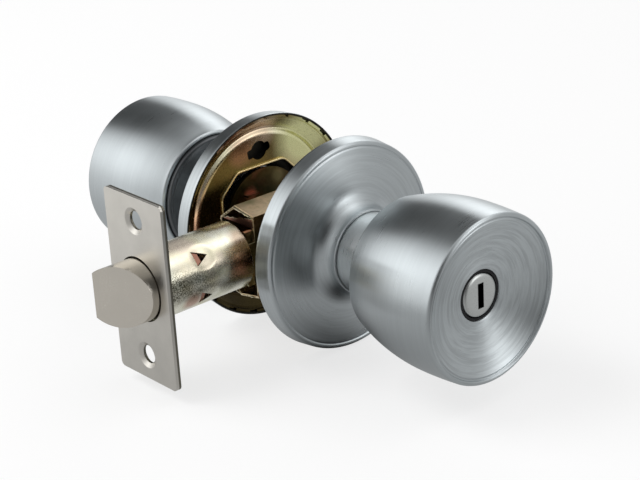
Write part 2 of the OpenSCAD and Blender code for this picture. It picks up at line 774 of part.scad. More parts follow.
// Section of the rear case, drawn in Y and Z
function case_outline() =
    [[case_w2, -case_inside_z], [case_w2, case_inside_z], [case_ridge_y, case_ridge_z],
     [-case_w2, case_outside_z], [-case_w2, -case_outside_z], [case_ridge_y, -case_ridge_z]];

// Rear case: one folded sheet with two tongues that reach into the tube
module rear_case()
    color(zinc) difference() {
        union() {
            along_x(-case_front, case_rear) difference() {
                polygon(case_outline());
                polygon(shrunk(case_outline(), case_wall));
            }
            for (side = [-1, 1])
                translate([seat_x + layer_gap, side > 0 ? case_inner : -case_w2, -tongue_z])
                    cube([-case_front - seat_x + cut, case_wall, 2 * tongue_z]);
        }
        translate([0, case_inner - cut, 0]) rotate([-90, 0, 0])
            cylinder(r = hub_collar_r + 2 * close, h = case_wall + 2 * cut);
        translate([0, -case_w2 - cut, 0]) rotate([-90, 0, 0])
            cylinder(r = spindle_r + loose + layer_gap, h = case_wall + 2 * cut);
    }

// Half height of the tongues, which just fit in the bore of the tube
tongue_z = sqrt(pow(tube_bore_r - slide, 2) - pow(case_w2, 2));

// Seat of the bolt spring, staked in the tube
module spring_seat()
    color(zinc_dark) {
        along_x(seat_x, seat_x + seat_t) intersection() {
            circle(r = tube_bore_r - close);
            translate([retractor_y + close, -tube_r])
                square([case_inner - retractor_y - 2 * close, 2 * tube_r]);
        }
        translate([seat_x - seat_nose, 0, 0]) rotate([0, 90, 0])
            cylinder(r = coil_r - coil_wire / 2 - loose, h = seat_nose + close);
    }

// Bolt head: a cast D-section with a slanted face
module bolt_head()
    color(nickel) difference() {
        along_x(bolt_tip_x, bolt_rear_x) bolt_section();
        translate([0, 0, -2 * bolt_r]) linear_extrude(4 * bolt_r) polygon([
            [bolt_tip_x, bolt_flat], [bolt_low_x, -bolt_r],
            [bolt_low_x, -2 * bolt_r], [bolt_tip_x - cut, -2 * bolt_r],
            [bolt_tip_x - cut, bolt_flat]]);
        translate([pocket_x, 0, 0]) rotate([0, 90, 0])
            cylinder(r = pocket_r, h = bolt_rear_x - pocket_x + cut);
        translate([bolt_rear_x - tail_seat, tail_y - close, -tail_root_z - 2 * close])
            cube([tail_seat + cut, tail_t + 2 * close, 2 * tail_root_z + 4 * close]);
        translate([pin_x, 0, 0]) rotate([90, 0, 0]) cylinder(r = pin_r + close, h = 2 * bolt_r);
    }

// Bolt tail: a flat plate that forks round the spindle
module bolt_tail()
    color(zinc) difference() {
        union() {
            across_y(tail_y, tail_y + tail_t) {
                translate([bolt_rear_x - tail_seat + 2 * close, -tail_root_z])
                    square([tail_seat + cut, 2 * tail_root_z]);
                translate([bolt_rear_x + loose, -web_z])
                    square([web_x1 - bolt_rear_x - loose, 2 * web_z]);
                for (side = [-1, 1])
                    translate([arm_x0, side > 0 ? arm_z0 : -arm_z1])
                        square([arm_x1 - arm_x0, arm_z1 - arm_z0]);
            }
            for (side = [-1, 1])
                translate([tail_lug_x, tail_y + tail_t - close,
                           side > 0 ? window_z0 + layer_gap : -window_z1 + loose])
                    cube([arm_x1 - tail_lug_x, retractor_t + 2 * layer_gap,
                          window_z1 - window_z0 - loose - layer_gap]);
        }
        translate([pin_x, tail_y - cut, 0]) rotate([-90, 0, 0])
            cylinder(r = pin_r + close, h = tail_t + 2 * cut);
    }

// Pin that joins head and tail
module bolt_pin()
    color(steel) translate([pin_x, 0, 0]) rotate([90, 0, 0])
        translate([0, 0, pocket_r + 2 * close])
            cylinder(r = pin_r, h = bolt_r - pocket_r - loose - 2 * close);

// Spring that pushes the bolt out
module bolt_spring()
    color(steel_dark) translate([pocket_x, 0, 0]) rotate([0, 90, 0])
        coil(coil_r, coil_wire, (seat_x - pocket_x - coil_wire - 2 * close) / coil_turns,
             coil_turns, coil_wire / 2 + close, 0, 16, 6);

// Retractor: a slotted plate with two bent lugs that the cam fingers push
module retractor()
    color(zinc_dark) {
        across_y(retractor_y, retractor_y + retractor_t) difference() {
            translate([-spindle_slot_z - draw_travel - retractor_front_w, -retractor_z])
                square([2 * spindle_slot_z + draw_travel + retractor_front_w + retractor_rear_w,
                        2 * retractor_z]);
            translate([-spindle_slot_z - draw_travel, -spindle_slot_z])
                square([2 * spindle_slot_z + draw_travel, 2 * spindle_slot_z]);
            for (side = [-1, 1])
                translate([tail_lug_x - layer_gap, side > 0 ? window_z0 : -window_z1])
                    square([arm_x1 - tail_lug_x + push_travel + 2 * layer_gap, window_z1 - window_z0]);
        }
        for (side = [-1, 1])
            translate([cam_lug_x, retractor_y + close, side > 0 ? cam_lug_z0 : -cam_lug_z1])
                cube([cam_lug_t, finger_t / 2 - retractor_y, cam_lug_z1 - cam_lug_z0]);
    }

// Latch cam: a hub on the spindle with two fingers
module latch_cam()
    color(zinc_dark) difference() {
        union() {
            across_y(hub_y0, hub_y1) circle(r = hub_r);
            across_y(hub_y1 - close, hub_collar_y) circle(r = hub_collar_r);
            across_y(-finger_t / 2, finger_t / 2)
                for (side = [0, 1]) mirror([0, side]) rotate(start_angle) {
                    translate([-finger_w / 2, 0]) square([finger_w, finger_r]);
                    translate([0, finger_r]) circle(r = finger_tip_r);
                }
        }
        across_y(hub_y0 - cut, hub_collar_y + cut) spindle_section(slide / 2);
    }

outside() rose();  // outside_rose
outside() mounting_plate();  // outside_mounting_plate
outside() thrust_bush(false);  // outside_thrust_bush
outside() return_spring();  // outside_return_spring
outside() spring_driver();  // outside_spring_driver
outside() retaining_ring();  // outside_retaining_ring
outside() end_cap();  // outside_end_cap
outside() knob_core(false);  // outside_knob_core
outside() knob_shell();  // outside_knob_shell
outside() face_guide();  // outside_disc_guide
outside() release_disc();
outside() shank_clip();  // release_disc_clip
inside() rose();  // inside_rose
inside() mounting_plate();  // inside_mounting_plate
inside() thrust_bush(true);  // inside_thrust_bush
inside() return_spring();  // inside_return_spring
inside() spring_driver();  // inside_spring_driver
inside() retaining_ring();  // inside_retaining_ring
inside() end_cap();  // inside_end_cap
inside() knob_core(true);  // inside_knob_core
inside() knob_shell();  // inside_knob_shell
inside() face_guide();  // inside_button_guide
inside() turn_button();
inside() shank_clip();  // turn_button_clip
spindle();
locking_bar();
lock_cam();
lock_lug();
faceplate();
backing_plate();
latch_tube();
rear_case();
spring_seat();
bolt_head();
bolt_tail();
bolt_pin();
bolt_spring();
retractor();
latch_cam();
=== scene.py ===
"""Looks of the tubular knob lock: brushed stainless knobs, a nickel latch and yellow zinc inside.

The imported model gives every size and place. Turned sheets, the folds round the openings and the
pressed tabs are drawn anew with Geometry Nodes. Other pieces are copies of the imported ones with
rounded edges, or are packed ones as they are, and each gets a procedural finish. The bolt spring
is parted between bolt and tube, so that it stays hidden when the bolt moves. Lengths in the
classes are millimetres unless they say otherwise, and the scene is in metres.
"""

import json
import logging
import math
import random
from contextlib import contextmanager
from dataclasses import dataclass, field
from enum import Enum
from typing import Callable, Iterable, Iterator, Sequence

import bmesh
import bpy
from mathutils import Matrix, Vector


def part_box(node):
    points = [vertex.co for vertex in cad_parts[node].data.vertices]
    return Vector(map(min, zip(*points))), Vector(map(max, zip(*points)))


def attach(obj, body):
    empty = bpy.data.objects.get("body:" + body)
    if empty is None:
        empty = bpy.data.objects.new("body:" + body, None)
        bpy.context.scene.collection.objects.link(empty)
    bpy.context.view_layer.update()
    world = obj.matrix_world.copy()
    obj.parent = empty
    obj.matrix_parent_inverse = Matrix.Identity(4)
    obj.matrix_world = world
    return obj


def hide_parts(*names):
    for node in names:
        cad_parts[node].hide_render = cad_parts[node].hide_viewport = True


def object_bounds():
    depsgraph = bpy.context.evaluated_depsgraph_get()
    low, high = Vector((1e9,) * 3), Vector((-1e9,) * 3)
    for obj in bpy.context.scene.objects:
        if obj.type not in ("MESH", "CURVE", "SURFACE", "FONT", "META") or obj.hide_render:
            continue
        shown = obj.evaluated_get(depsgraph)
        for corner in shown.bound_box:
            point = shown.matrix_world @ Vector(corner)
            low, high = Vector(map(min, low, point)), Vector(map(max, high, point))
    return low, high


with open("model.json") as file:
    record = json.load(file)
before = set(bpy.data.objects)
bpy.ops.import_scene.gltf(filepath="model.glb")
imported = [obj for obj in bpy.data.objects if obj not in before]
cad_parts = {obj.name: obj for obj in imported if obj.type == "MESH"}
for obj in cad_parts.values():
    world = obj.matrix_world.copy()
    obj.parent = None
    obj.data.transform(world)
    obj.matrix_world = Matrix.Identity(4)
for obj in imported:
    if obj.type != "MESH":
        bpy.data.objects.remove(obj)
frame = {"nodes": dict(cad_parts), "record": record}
CAD_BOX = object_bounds()

LOG = logging.getLogger("knob_lock")

MM = 0.001
# Spindle axis, and the least distance in metres that is told apart from it
SPINDLE_AXIS = (0.0, 1.0, 0.0)
NEAR_AXIS = 1e-5
# Share of a path's side that one fillet may take, and chords in the fillet of a swept bar
FILLET_SHARE = 0.45
SWEEP_CHORDS = 3
# Metres within which vertices are one, in new meshes and in packed ones
MERGE = 1e-7
PACKED_MERGE = 2e-6
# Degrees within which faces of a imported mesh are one, and past which an edge is sharp
PACKED_FLAT = 0.3
CREASE = 32
SOFT_CREASE = 40
# Anisotropy turned from the tangent, in full turns
QUARTER_TURN = 0.25
# Ends of a grain's noise in a colour ramp, and the strength of its bump
GRAIN_BAND = (0.35, 0.65)
GRAIN_STRENGTH = 0.4

Point = tuple[float, float]
Path = list[Point]
Corner = tuple[float, float, float]
Place = tuple[float, float, float]
Colour = tuple[float, float, float]


class Side(Enum):
    """The two sides of the door."""

    OUTSIDE = "outside"
    INSIDE = "inside"

    @property
    def away(self) -> int:
        """Sign of Y away from the door."""
        return -1 if self is Side.OUTSIDE else 1

    def door_y(self) -> float:
        """Y of the door face on this side, in metres."""
        low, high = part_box(f"{self.value}_rose")
        return high.y if self is Side.OUTSIDE else low.y

    def place(self) -> Matrix:
        """Matrix that turns the lathe frame, with Z away from the door, into the lock's frame."""
        turn = Matrix(((1, 0, 0), (0, 0, self.away), (0, -self.away, 0))).to_4x4()
        return Matrix.Translation((0, self.door_y(), 0)) @ turn

    def node(self, name: str) -> str:
        """Full name of a node of this side."""
        return f"{self.value}_{name}"


class Slot(Enum):
    """Material slots of the record."""

    STAINLESS = "stainless"
    NICKEL = "satin_nickel"
    YELLOW_ZINC = "yellow_zinc"
    DULL_ZINC = "dull_zinc"
    SPRING_STEEL = "spring_steel"
    NYLON = "black_nylon"


# Paths of turned sheets


def arc(centre: Point, radius: float, start: float, end: float, steps: int = 12) -> Path:
    """Points of an arc.

    Args:
        centre: Middle of the arc.
        radius: Its radius.
        start: First angle in degrees.
        end: Last angle in degrees.
        steps: Number of chords.

    Returns:
        The points from start to end.
    """
    turns = [math.radians(start + (end - start) * i / steps) for i in range(steps + 1)]
    return [(centre[0] + radius * math.cos(a), centre[1] + radius * math.sin(a)) for a in turns]


def filleted(corners: Sequence[Corner], steps: int = 5) -> Path:
    """Rounds the corners of a path.

    Args:
        corners: Points as (radius, height, fillet), where a fillet of 0 keeps the corner.
        steps: Number of chords in each fillet.

    Returns:
        The rounded path.
    """
    path: Path = []
    for i, (x, y, fillet) in enumerate(corners):
        if fillet <= 0 or i in (0, len(corners) - 1):
            path.append((x, y))
            continue
        here = Vector((x, y))
        back = Vector(corners[i - 1][:2]) - here
        ahead = Vector(corners[i + 1][:2]) - here
        reach = min(fillet, FILLET_SHARE * back.length, FILLET_SHARE * ahead.length)
        first, last = here + back.normalized() * reach, here + ahead.normalized() * reach
        for k in range(steps + 1):
            t = k / steps
            bend = first * (1 - t) ** 2 + here * 2 * t * (1 - t) + last * t ** 2
            path.append((bend.x, bend.y))
    return path


def beside(path: Path, distance: float) -> Path:
    """Moves a path to its left.

    Args:
        path: The path.
        distance: How far it moves.

    Returns:
        The moved path.
    """
    moved: Path = []
    for i, (x, y) in enumerate(path):
        ax, ay = path[max(i - 1, 0)]
        bx, by = path[min(i + 1, len(path) - 1)]
        length = math.hypot(bx - ax, by - ay)
        moved.append((x - (by - ay) / length * distance, y + (bx - ax) / length * distance))
    return moved


def sheet(path: Path, wall: float, lip_steps: int = 4) -> Path:
    """Closed outline of a sheet whose outer face follows the path, with rounded lips.

    Args:
        path: Outer face of the sheet.
        wall: Thickness, to the left of the path.
        lip_steps: Number of chords round each lip.

    Returns:
        The outline.
    """
    inner = beside(path, wall)

    def lip(tip: Point, base: Point, other: Point) -> Path:
        """Half circle from base to other that bulges away from tip.

        Args:
            tip: Point of the sheet before the lip.
            base: Where the half circle starts.
            other: Where it ends.

        Returns:
            The points between both ends.
        """
        middle = (Vector(base) + Vector(other)) / 2
        spoke = Vector(base) - middle
        ahead = (Vector(base) - Vector(tip)).normalized() * spoke.length
        turns = [math.pi * k / lip_steps for k in range(1, lip_steps)]
        return [tuple(middle + spoke * math.cos(a) + ahead * math.sin(a)) for a in turns]

    end = lip(path[-2], path[-1], inner[-1])
    start = lip(inner[1], inner[0], path[0])
    return path + end + inner[::-1] + start


def octagon(width: float, height: float, cut: float) -> Path:
    """Rectangle with cut corners.

    Args:
        width: Its width.
        height: Its height.
        cut: Length of each cut along a side.

    Returns:
        Its eight corners, anticlockwise.
    """
    x, y = width / 2, height / 2
    return [(-x + cut, -y), (x - cut, -y), (x, -y + cut), (x, y - cut),
            (x - cut, y), (-x + cut, y), (-x, y - cut), (-x, -y + cut)]


def closed_loop(corners: Path, fillet: float) -> Path:
    """A closed path with all of its corners rounded."""
    middle = ((corners[0][0] + corners[-1][0]) / 2, (corners[0][1] + corners[-1][1]) / 2)
    return filleted([(*middle, 0), *((x, y, fillet) for x, y in corners), (*middle, 0)])[:-1]


# Trees and meshes


def tree_socket(tree: bpy.types.NodeTree, name: str, kind: str, output: bool = False) -> str:
    """Adds a named socket to a tree.

    Args:
        tree: The node tree.
        name: Name of the socket.
        kind: End of the socket type's name, such as Float.
        output: Whether it is an output.

    Returns:
        The socket's identifier.
    """
    way, kind = "OUTPUT" if output else "INPUT", f"NodeSocket{kind}"
    return tree.interface.new_socket(name=name, in_out=way, socket_type=kind).identifier


def join(tree: bpy.types.NodeTree, value: object, target: bpy.types.NodeSocket) -> None:
    """Links an output to an input, or sets the input's value.

    Args:
        tree: The node tree.
        value: An output socket, or a plain value.
        target: The input.
    """
    if isinstance(value, bpy.types.NodeSocket):
        tree.links.new(value, target)
    else:
        target.default_value = value


def worked(tree: bpy.types.NodeTree, kind: str, operation: str,
           values: Sequence[object]) -> bpy.types.Node:
    """Adds a node that calculates.

    Args:
        tree: The node tree.
        kind: Math or VectorMath.
        operation: What it does.
        values: Value or output socket of each input.

    Returns:
        The node.
    """
    node = tree.nodes.new(f"ShaderNode{kind}")
    node.operation = operation
    for value, target in zip(values, node.inputs):
        join(tree, value, target)
    return node


class GeometryTree:
    """A Geometry Nodes tree with named inputs that ends in Realize Instances and Set Material."""

    def __init__(self, name: str, inputs: dict[str, str]) -> None:
        """Starts the tree.

        Args:
            name: Name of the tree.
            inputs: Kind of each named input.
        """
        self.tree = bpy.data.node_groups.new(name, "GeometryNodeTree")
        self.keys = {"Geometry": tree_socket(self.tree, "Geometry", "Geometry")}
        for label, kind in {**inputs, "Finish": "Material"}.items():
            self.keys[label] = tree_socket(self.tree, label, kind)
        tree_socket(self.tree, "Geometry", "Geometry", output=True)
        self.start = self.tree.nodes.new("NodeGroupInput")

    def add(self, kind: str, **links: object) -> bpy.types.Node:
        """Adds a node and sets its inputs.

        Args:
            kind: End of the node type's name.
            **links: Value or output socket for each input, with _ for a space in its name.

        Returns:
            The node.
        """
        node = self.tree.nodes.new(f"GeometryNode{kind}")
        for label, value in links.items():
            join(self.tree, value, node.inputs[label.replace("_", " ")])
        return node

    def given(self, label: str) -> bpy.types.NodeSocket:
        """Output socket of a named input."""
        return self.start.outputs[label]

    def end(self, made: bpy.types.NodeSocket) -> None:
        """Closes the tree.

        Args:
            made: Socket that holds what was made.
        """
        real = self.add("RealizeInstances", Geometry=made)
        done = self.add("SetMaterial", Geometry=real.outputs[0], Material=self.given("Finish"))
        out = self.tree.nodes.new("NodeGroupOutput")
        self.tree.links.new(done.outputs[0], out.inputs[0])

    def run(self, obj: bpy.types.Object, **values: object) -> bpy.types.Object:
        """Applies the tree to an object.

        Args:
            obj: Object that holds the starting geometry.
            **values: Value of each named input, with _ for a space.

        Returns:
            The object with a plain mesh.
        """
        modifier = obj.modifiers.new(self.tree.name, "NODES")
        modifier.node_group = self.tree
        for label, value in values.items():
            modifier[self.keys[label.replace("_", " ")]] = value
        return settle(obj)


def settle(obj: bpy.types.Object) -> bpy.types.Object:
    """Turns an object with modifiers into a plain mesh.

    Args:
        obj: The object.

    Returns:
        The same object.
    """
    bpy.context.view_layer.update()
    depsgraph = bpy.context.evaluated_depsgraph_get()
    mesh = bpy.data.meshes.new_from_object(obj.evaluated_get(depsgraph), depsgraph=depsgraph)
    mesh.name = obj.name
    obj.modifiers.clear()
    obj.data = mesh
    return obj


def new_object(name: str, data: bpy.types.ID) -> bpy.types.Object:
    """Links a new object at the origin.

    Args:
        name: Name of the object.
        data: Its mesh, lamp or camera.

    Returns:
        The object.
    """
    obj = bpy.data.objects.new(name, data)
    bpy.context.scene.collection.objects.link(obj)
    return obj


def mesh_of(name: str, points: Iterable[Sequence[float]], faces: Iterable[Sequence[int]] = (),
            edges: Iterable[Sequence[int]] = ()) -> bpy.types.Mesh:
    """Makes a mesh from points in metres.

    Args:
        name: Name of the mesh.
        points: Its vertices.
        faces: Its faces.
        edges: Loose edges.

    Returns:
        The mesh.
    """
    mesh = bpy.data.meshes.new(name)
    mesh.from_pydata([tuple(p) for p in points], [tuple(e) for e in edges],
                     [tuple(f) for f in faces])
    return mesh


def loop_mesh(name: str, points: Sequence[Place]) -> bpy.types.Mesh:
    """Mesh of a closed loop of edges through points in metres."""
    n = len(points)
    return mesh_of(name, points, edges=[(i, (i + 1) % n) for i in range(n)])


@contextmanager
def editing(mesh: bpy.types.Mesh, source: bpy.types.Mesh | None = None
            ) -> Iterator[bmesh.types.BMesh]:
    """Opens a mesh for bmesh and writes the result back.

    Args:
        mesh: The mesh that gets the result.
        source: The mesh to start from, if it is another one.

    Yields:
        The form to work on.
    """
    form = bmesh.new()
    form.from_mesh(source or mesh)
    yield form
    form.to_mesh(mesh)
    form.free()


def outward(mesh: bpy.types.Mesh) -> None:
    """Merges doubles and points the faces of a closed mesh outwards.

    Args:
        mesh: The mesh.
    """
    with editing(mesh) as form:
        bmesh.ops.remove_doubles(form, verts=form.verts, dist=MERGE)
        bmesh.ops.recalc_face_normals(form, faces=form.faces)
        if form.calc_volume(signed=True) < 0:
            bmesh.ops.reverse_faces(form, faces=form.faces)


def smooth(mesh: bpy.types.Mesh, limit: float = CREASE) -> None:
    """Shades a mesh smooth, with edges sharp above a limit in degrees."""
    mesh.shade_smooth()
    mesh.set_sharp_from_angle(angle=math.radians(limit))


def prism(name: str, outline: Sequence[Point], low: float, high: float) -> bpy.types.Object:
    """Closed prism on an outline in millimetres.

    Args:
        name: Name of the object.
        outline: Points in X and Y.
        low: Lower Z.
        high: Upper Z.

    Returns:
        The object.
    """
    n = len(outline)
    points = [(x * MM, y * MM, z * MM) for z in (low, high) for x, y in outline]
    walls = [(i, (i + 1) % n, n + (i + 1) % n, n + i) for i in range(n)]
    mesh = mesh_of(name, points, [range(n - 1, -1, -1), range(n, 2 * n), *walls])
    outward(mesh)
    return new_object(name, mesh)


def cut_away(obj: bpy.types.Object, cutters: Sequence[bpy.types.Object]) -> None:
    """Cuts solids out of an object and removes them.

    Args:
        obj: Object to cut.
        cutters: Closed solids.
    """
    for cutter in cutters:
        modifier = obj.modifiers.new(cutter.name, "BOOLEAN")
        modifier.operation = "DIFFERENCE"
        modifier.solver = "EXACT"
        modifier.object = cutter
    settle(obj)
    for cutter in cutters:
        bpy.data.objects.remove(cutter)


def soften(obj: bpy.types.Object, width: float, segments: int = 2, limit: float = 28) -> None:
    """Rounds the sharp edges of an object and keeps its flat faces flat in shading.

    Args:
        obj: Object to change.
        width: Width of the rounding in millimetres.
        segments: Number of faces across it.
        limit: Angle in degrees above which an edge is rounded.
    """
    bevel = obj.modifiers.new("rounding", "BEVEL")
    bevel.width = width * MM
    bevel.segments = segments
    bevel.limit_method = "ANGLE"
    bevel.angle_limit = math.radians(limit)
    bevel.use_clamp_overlap = True
    settle(obj)
    smooth(obj.data, SOFT_CREASE)
    weigh = obj.modifiers.new("flat faces", "WEIGHTED_NORMAL")
    weigh.keep_sharp = True
    settle(obj)


# Finishes


def opaque(value: object) -> object:
    """A colour with its alpha, or any other value as it is."""
    return (*value, 1) if isinstance(value, tuple) else value


class Finish:
    """A material under construction."""

    def __init__(self, name: str) -> None:
        """Starts an empty material with a shader.

        Args:
            name: Name of the material.
        """
        self.material = bpy.data.materials.new(name)
        self.material.use_nodes = True
        self.tree = self.material.node_tree
        self.shader = self.tree.nodes["Principled BSDF"]
        self.place = self.tree.nodes.new("ShaderNodeTexCoord").outputs["Object"]

    def add(self, kind: str, **settings: object) -> bpy.types.Node:
        """Adds a node and sets its properties.

        Args:
            kind: End of the node type's name.
            **settings: Properties of the node.

        Returns:
            The node.
        """
        node = self.tree.nodes.new(f"ShaderNode{kind}")
        for label, value in settings.items():
            setattr(node, label, value)
        return node

    def join(self, value: object, target: bpy.types.NodeSocket) -> None:
        """Links an output to an input, or sets the input's value."""
        join(self.tree, value, target)

    def math(self, operation: str, *values: object) -> bpy.types.NodeSocket:
        """Result of a Math node."""
        return worked(self.tree, "Math", operation, values).outputs[0]

    def vector(self, operation: str, *values: object) -> bpy.types.NodeSocket:
        """Result of a Vector Math node."""
        node = worked(self.tree, "VectorMath", operation, values)
        return node.outputs["Value" if operation in ("DOT_PRODUCT", "LENGTH") else "Vector"]

    def scaled(self, vector: object, factor: object) -> bpy.types.NodeSocket:
        """A vector times a number.

        Args:
            vector: The vector or colour.
            factor: The number.

        Returns:
            The product.
        """
        node = worked(self.tree, "VectorMath", "SCALE", (vector,))
        self.join(factor, node.inputs["Scale"])
        return node.outputs["Vector"]

    def parts(self, vector: bpy.types.NodeSocket) -> Sequence[bpy.types.NodeSocket]:
        """X, Y and Z of a vector.

        Args:
            vector: The vector.

        Returns:
            Its three parts.
        """
        node = self.add("SeparateXYZ")
        self.join(vector, node.inputs[0])
        return node.outputs

    def point(self, x: object, y: object, z: object) -> bpy.types.NodeSocket:
        """A vector from three values.

        Args:
            x: Its first part.
            y: Its second part.
            z: Its third part.

        Returns:
            The vector.
        """
        node = self.add("CombineXYZ")
        for value, target in zip((x, y, z), node.inputs):
            self.join(value, target)
        return node.outputs[0]

    def spindle_radius(self, x: object, z: object) -> bpy.types.NodeSocket:
        """Distance from the spindle axis.

        Args:
            x: Place along X.
            z: Place along Z.

        Returns:
            The distance in metres.
        """
        squares = self.math("ADD", self.math("MULTIPLY", x, x), self.math("MULTIPLY", z, z))
        return self.math("SQRT", squares)

    def distance(self, centre: Place) -> bpy.types.NodeSocket:
        """Distance in metres from a point that is given in millimetres."""
        middle = tuple(c * MM for c in centre)
        return self.vector("LENGTH", self.vector("SUBTRACT", self.place, middle))

    def noise(self, place: bpy.types.NodeSocket, scale: float, detail: float = 2,
              roughness: float = 0.5, w: object = None) -> bpy.types.NodeSocket:
        """Value of a noise texture.

        Args:
            place: Where it is read.
            scale: Its scale.
            detail: Number of octaves.
            roughness: Strength of the fine octaves.
            w: Fourth coordinate, if any.

        Returns:
            The factor, around one half.
        """
        node = self.add("TexNoise", noise_dimensions="3D" if w is None else "4D")
        self.join(place, node.inputs["Vector"])
        if w is not None:
            self.join(w, node.inputs["W"])
        for label, number in (("Scale", scale), ("Detail", detail), ("Roughness", roughness)):
            node.inputs[label].default_value = number
        return node.outputs[0]

    def grain(self, scale: float) -> bpy.types.NodeSocket:
        """Fine grain that every plating and moulding has."""
        return self.noise(self.place, scale, detail=2, roughness=0.6)

    def spread(self, value: bpy.types.NodeSocket, low: float, high: float, start: float = 0.25,
               end: float = 0.75, course: str = "LINEAR") -> bpy.types.NodeSocket:
        """Maps a value to a range and clamps it there.

        Args:
            value: The value.
            low: Result at the start and before it.
            high: Result at the end and past it.
            start: Value that gives low.
            end: Value that gives high.
            course: How the result runs between them.

        Returns:
            The result.
        """
        node = self.add("MapRange", interpolation_type=course)
        self.join(value, node.inputs["Value"])
        for label, number in (("From Min", start), ("From Max", end), ("To Min", low),
                              ("To Max", high)):
            node.inputs[label].default_value = number
        return node.outputs["Result"]

    def ramp(self, value: bpy.types.NodeSocket,
             stops: Sequence[tuple[float, Colour]]) -> bpy.types.NodeSocket:
        """Colour of a ramp at a value.

        Args:
            value: The value.
            stops: Position and colour of each stop.

        Returns:
            The colour.
        """
        node = self.add("ValToRGB")
        ramp = node.color_ramp
        while len(ramp.elements) < len(stops):
            ramp.elements.new(0.5)
        for element, (position, colour) in zip(ramp.elements, stops):
            element.position = position
            element.color = opaque(colour)
        self.join(value, node.inputs[0])
        return node.outputs[0]

    def mix(self, factor: object, a: object, b: object) -> bpy.types.NodeSocket:
        """Mix of two colours.

        Args:
            factor: Share of the second one.
            a: First colour.
            b: Second colour.

        Returns:
            The mixed colour.
        """
        node = self.add("Mix", data_type="RGBA")
        self.join(factor, node.inputs[0])
        for value, target in ((a, node.inputs[6]), (b, node.inputs[7])):
            self.join(opaque(value), target)
        return node.outputs[2]

    def mix_shaders(self, factor: object, first: bpy.types.NodeSocket,
                    second: bpy.types.NodeSocket) -> bpy.types.NodeSocket:
        """Mix of two shaders.

        Args:
            factor: Share of the second one.
            first: First shader.
            second: Second shader.

        Returns:
            The mixed shader.
        """
        node = self.add("MixShader")
        for value, target in zip((factor, first, second), node.inputs):
            self.join(value, target)
        return node.outputs[0]

    def bump(self, height: bpy.types.NodeSocket, depth: float, strength: float) -> None:
        """Sets the shader's bump.

        Args:
            height: Height, from 0 to 1.
            depth: Depth of it in millimetres.
            strength: Strength of the bump.
        """
        node = self.add("Bump")
        self.join(height, node.inputs["Height"])
        node.inputs["Distance"].default_value = depth * MM
        node.inputs["Strength"].default_value = strength
        self.join(node.outputs[0], self.shader.inputs["Normal"])

    def set(self, **values: object) -> None:
        """Sets inputs of the shader.

        Args:
            **values: Value of each input, with _ for a space in its name.
        """
        for label, value in values.items():
            self.join(opaque(value), self.shader.inputs[label.replace("_", " ")])


@dataclass(frozen=True)
class TurnedSteel:
    """Metal brushed in circles about the spindle axis.

    The lines are noise that is read on a small circle, so that each runs on for a while and then
    changes. The face of a knob lies past face_height and within face_radius, and shows them most.
    """

    name: str
    colour: Colour
    roughness: float = 0.30
    anisotropy: float = 0.88
    lines: float = 2600
    line_depth: float = 0.003
    contrast: float = 0.02
    face_contrast: float = 0.105
    face_height: float = 64.0
    height_fade: float = 0.6
    face_radius: float = 24.5
    radius_fade: float = 0.4
    circle: float = 1.1
    broad_scale: float = 0.45
    broad_share: float = 0.65
    line_band: Point = (0.43, 0.57)
    line_roughness: float = 0.03
    line_strength: float = 0.35
    cloud_scale: float = 70
    cloud_roughness: float = 0.02

    def tangent(self, f: Finish) -> bpy.types.NodeSocket:
        """Direction along the brushing, which circles the spindle axis.

        Args:
            f: The material.

        Returns:
            The direction in the world's frame.
        """
        around = f.vector("NORMALIZE", f.vector("CROSS_PRODUCT", SPINDLE_AXIS, f.place))
        node = f.add("VectorTransform", vector_type="VECTOR", convert_from="OBJECT",
                     convert_to="WORLD")
        f.join(around, node.inputs[0])
        return node.outputs[0]

    def build(self) -> bpy.types.Material:
        """Makes the material: circular lines in colour, roughness and height.

        Returns:
            The material.
        """
        f = Finish(self.name)
        x, y, z = f.parts(f.place)
        radius = f.spindle_radius(x, z)
        safe = f.math("MAXIMUM", radius, NEAR_AXIS)
        around = f.point(f.math("DIVIDE", x, safe), f.math("DIVIDE", z, safe), 0.0)
        track = f.vector("ADD", f.scaled(around, self.circle * MM), f.point(0.0, 0.0, y))
        fine = f.noise(track, self.lines, detail=3, roughness=0.65, w=radius)
        broad = f.noise(track, self.lines * self.broad_scale, detail=3, roughness=0.6, w=radius)
        cloud = f.noise(f.place, self.cloud_scale)
        beyond = f.spread(f.math("ABSOLUTE", y), 0, 1, (self.face_height - self.height_fade) * MM,
                          (self.face_height + self.height_fade) * MM)
        within = f.spread(radius, 1, 0, (self.face_radius - self.radius_fade) * MM,
                          (self.face_radius + self.radius_fade) * MM)
        face = f.math("MULTIPLY", beyond, within)
        both = f.math("ADD", f.math("MULTIPLY", fine, 1 - self.broad_share),
                      f.math("MULTIPLY", broad, self.broad_share))
        swing = f.math("MULTIPLY", f.spread(both, -1, 1, *self.line_band),
                       f.spread(face, self.contrast, self.face_contrast, 0, 1))
        line = f.spread(fine, self.roughness - self.line_roughness,
                        self.roughness + self.line_roughness)
        rough = f.math("ADD", line, f.spread(cloud, -self.cloud_roughness, self.cloud_roughness))
        f.set(Base_Color=f.scaled(self.colour, f.math("ADD", swing, 1.0)), Metallic=1.0,
              Anisotropic=self.anisotropy, Anisotropic_Rotation=QUARTER_TURN, Roughness=rough,
              Tangent=self.tangent(f))
        f.bump(fine, self.line_depth, self.line_strength)
        return f.material


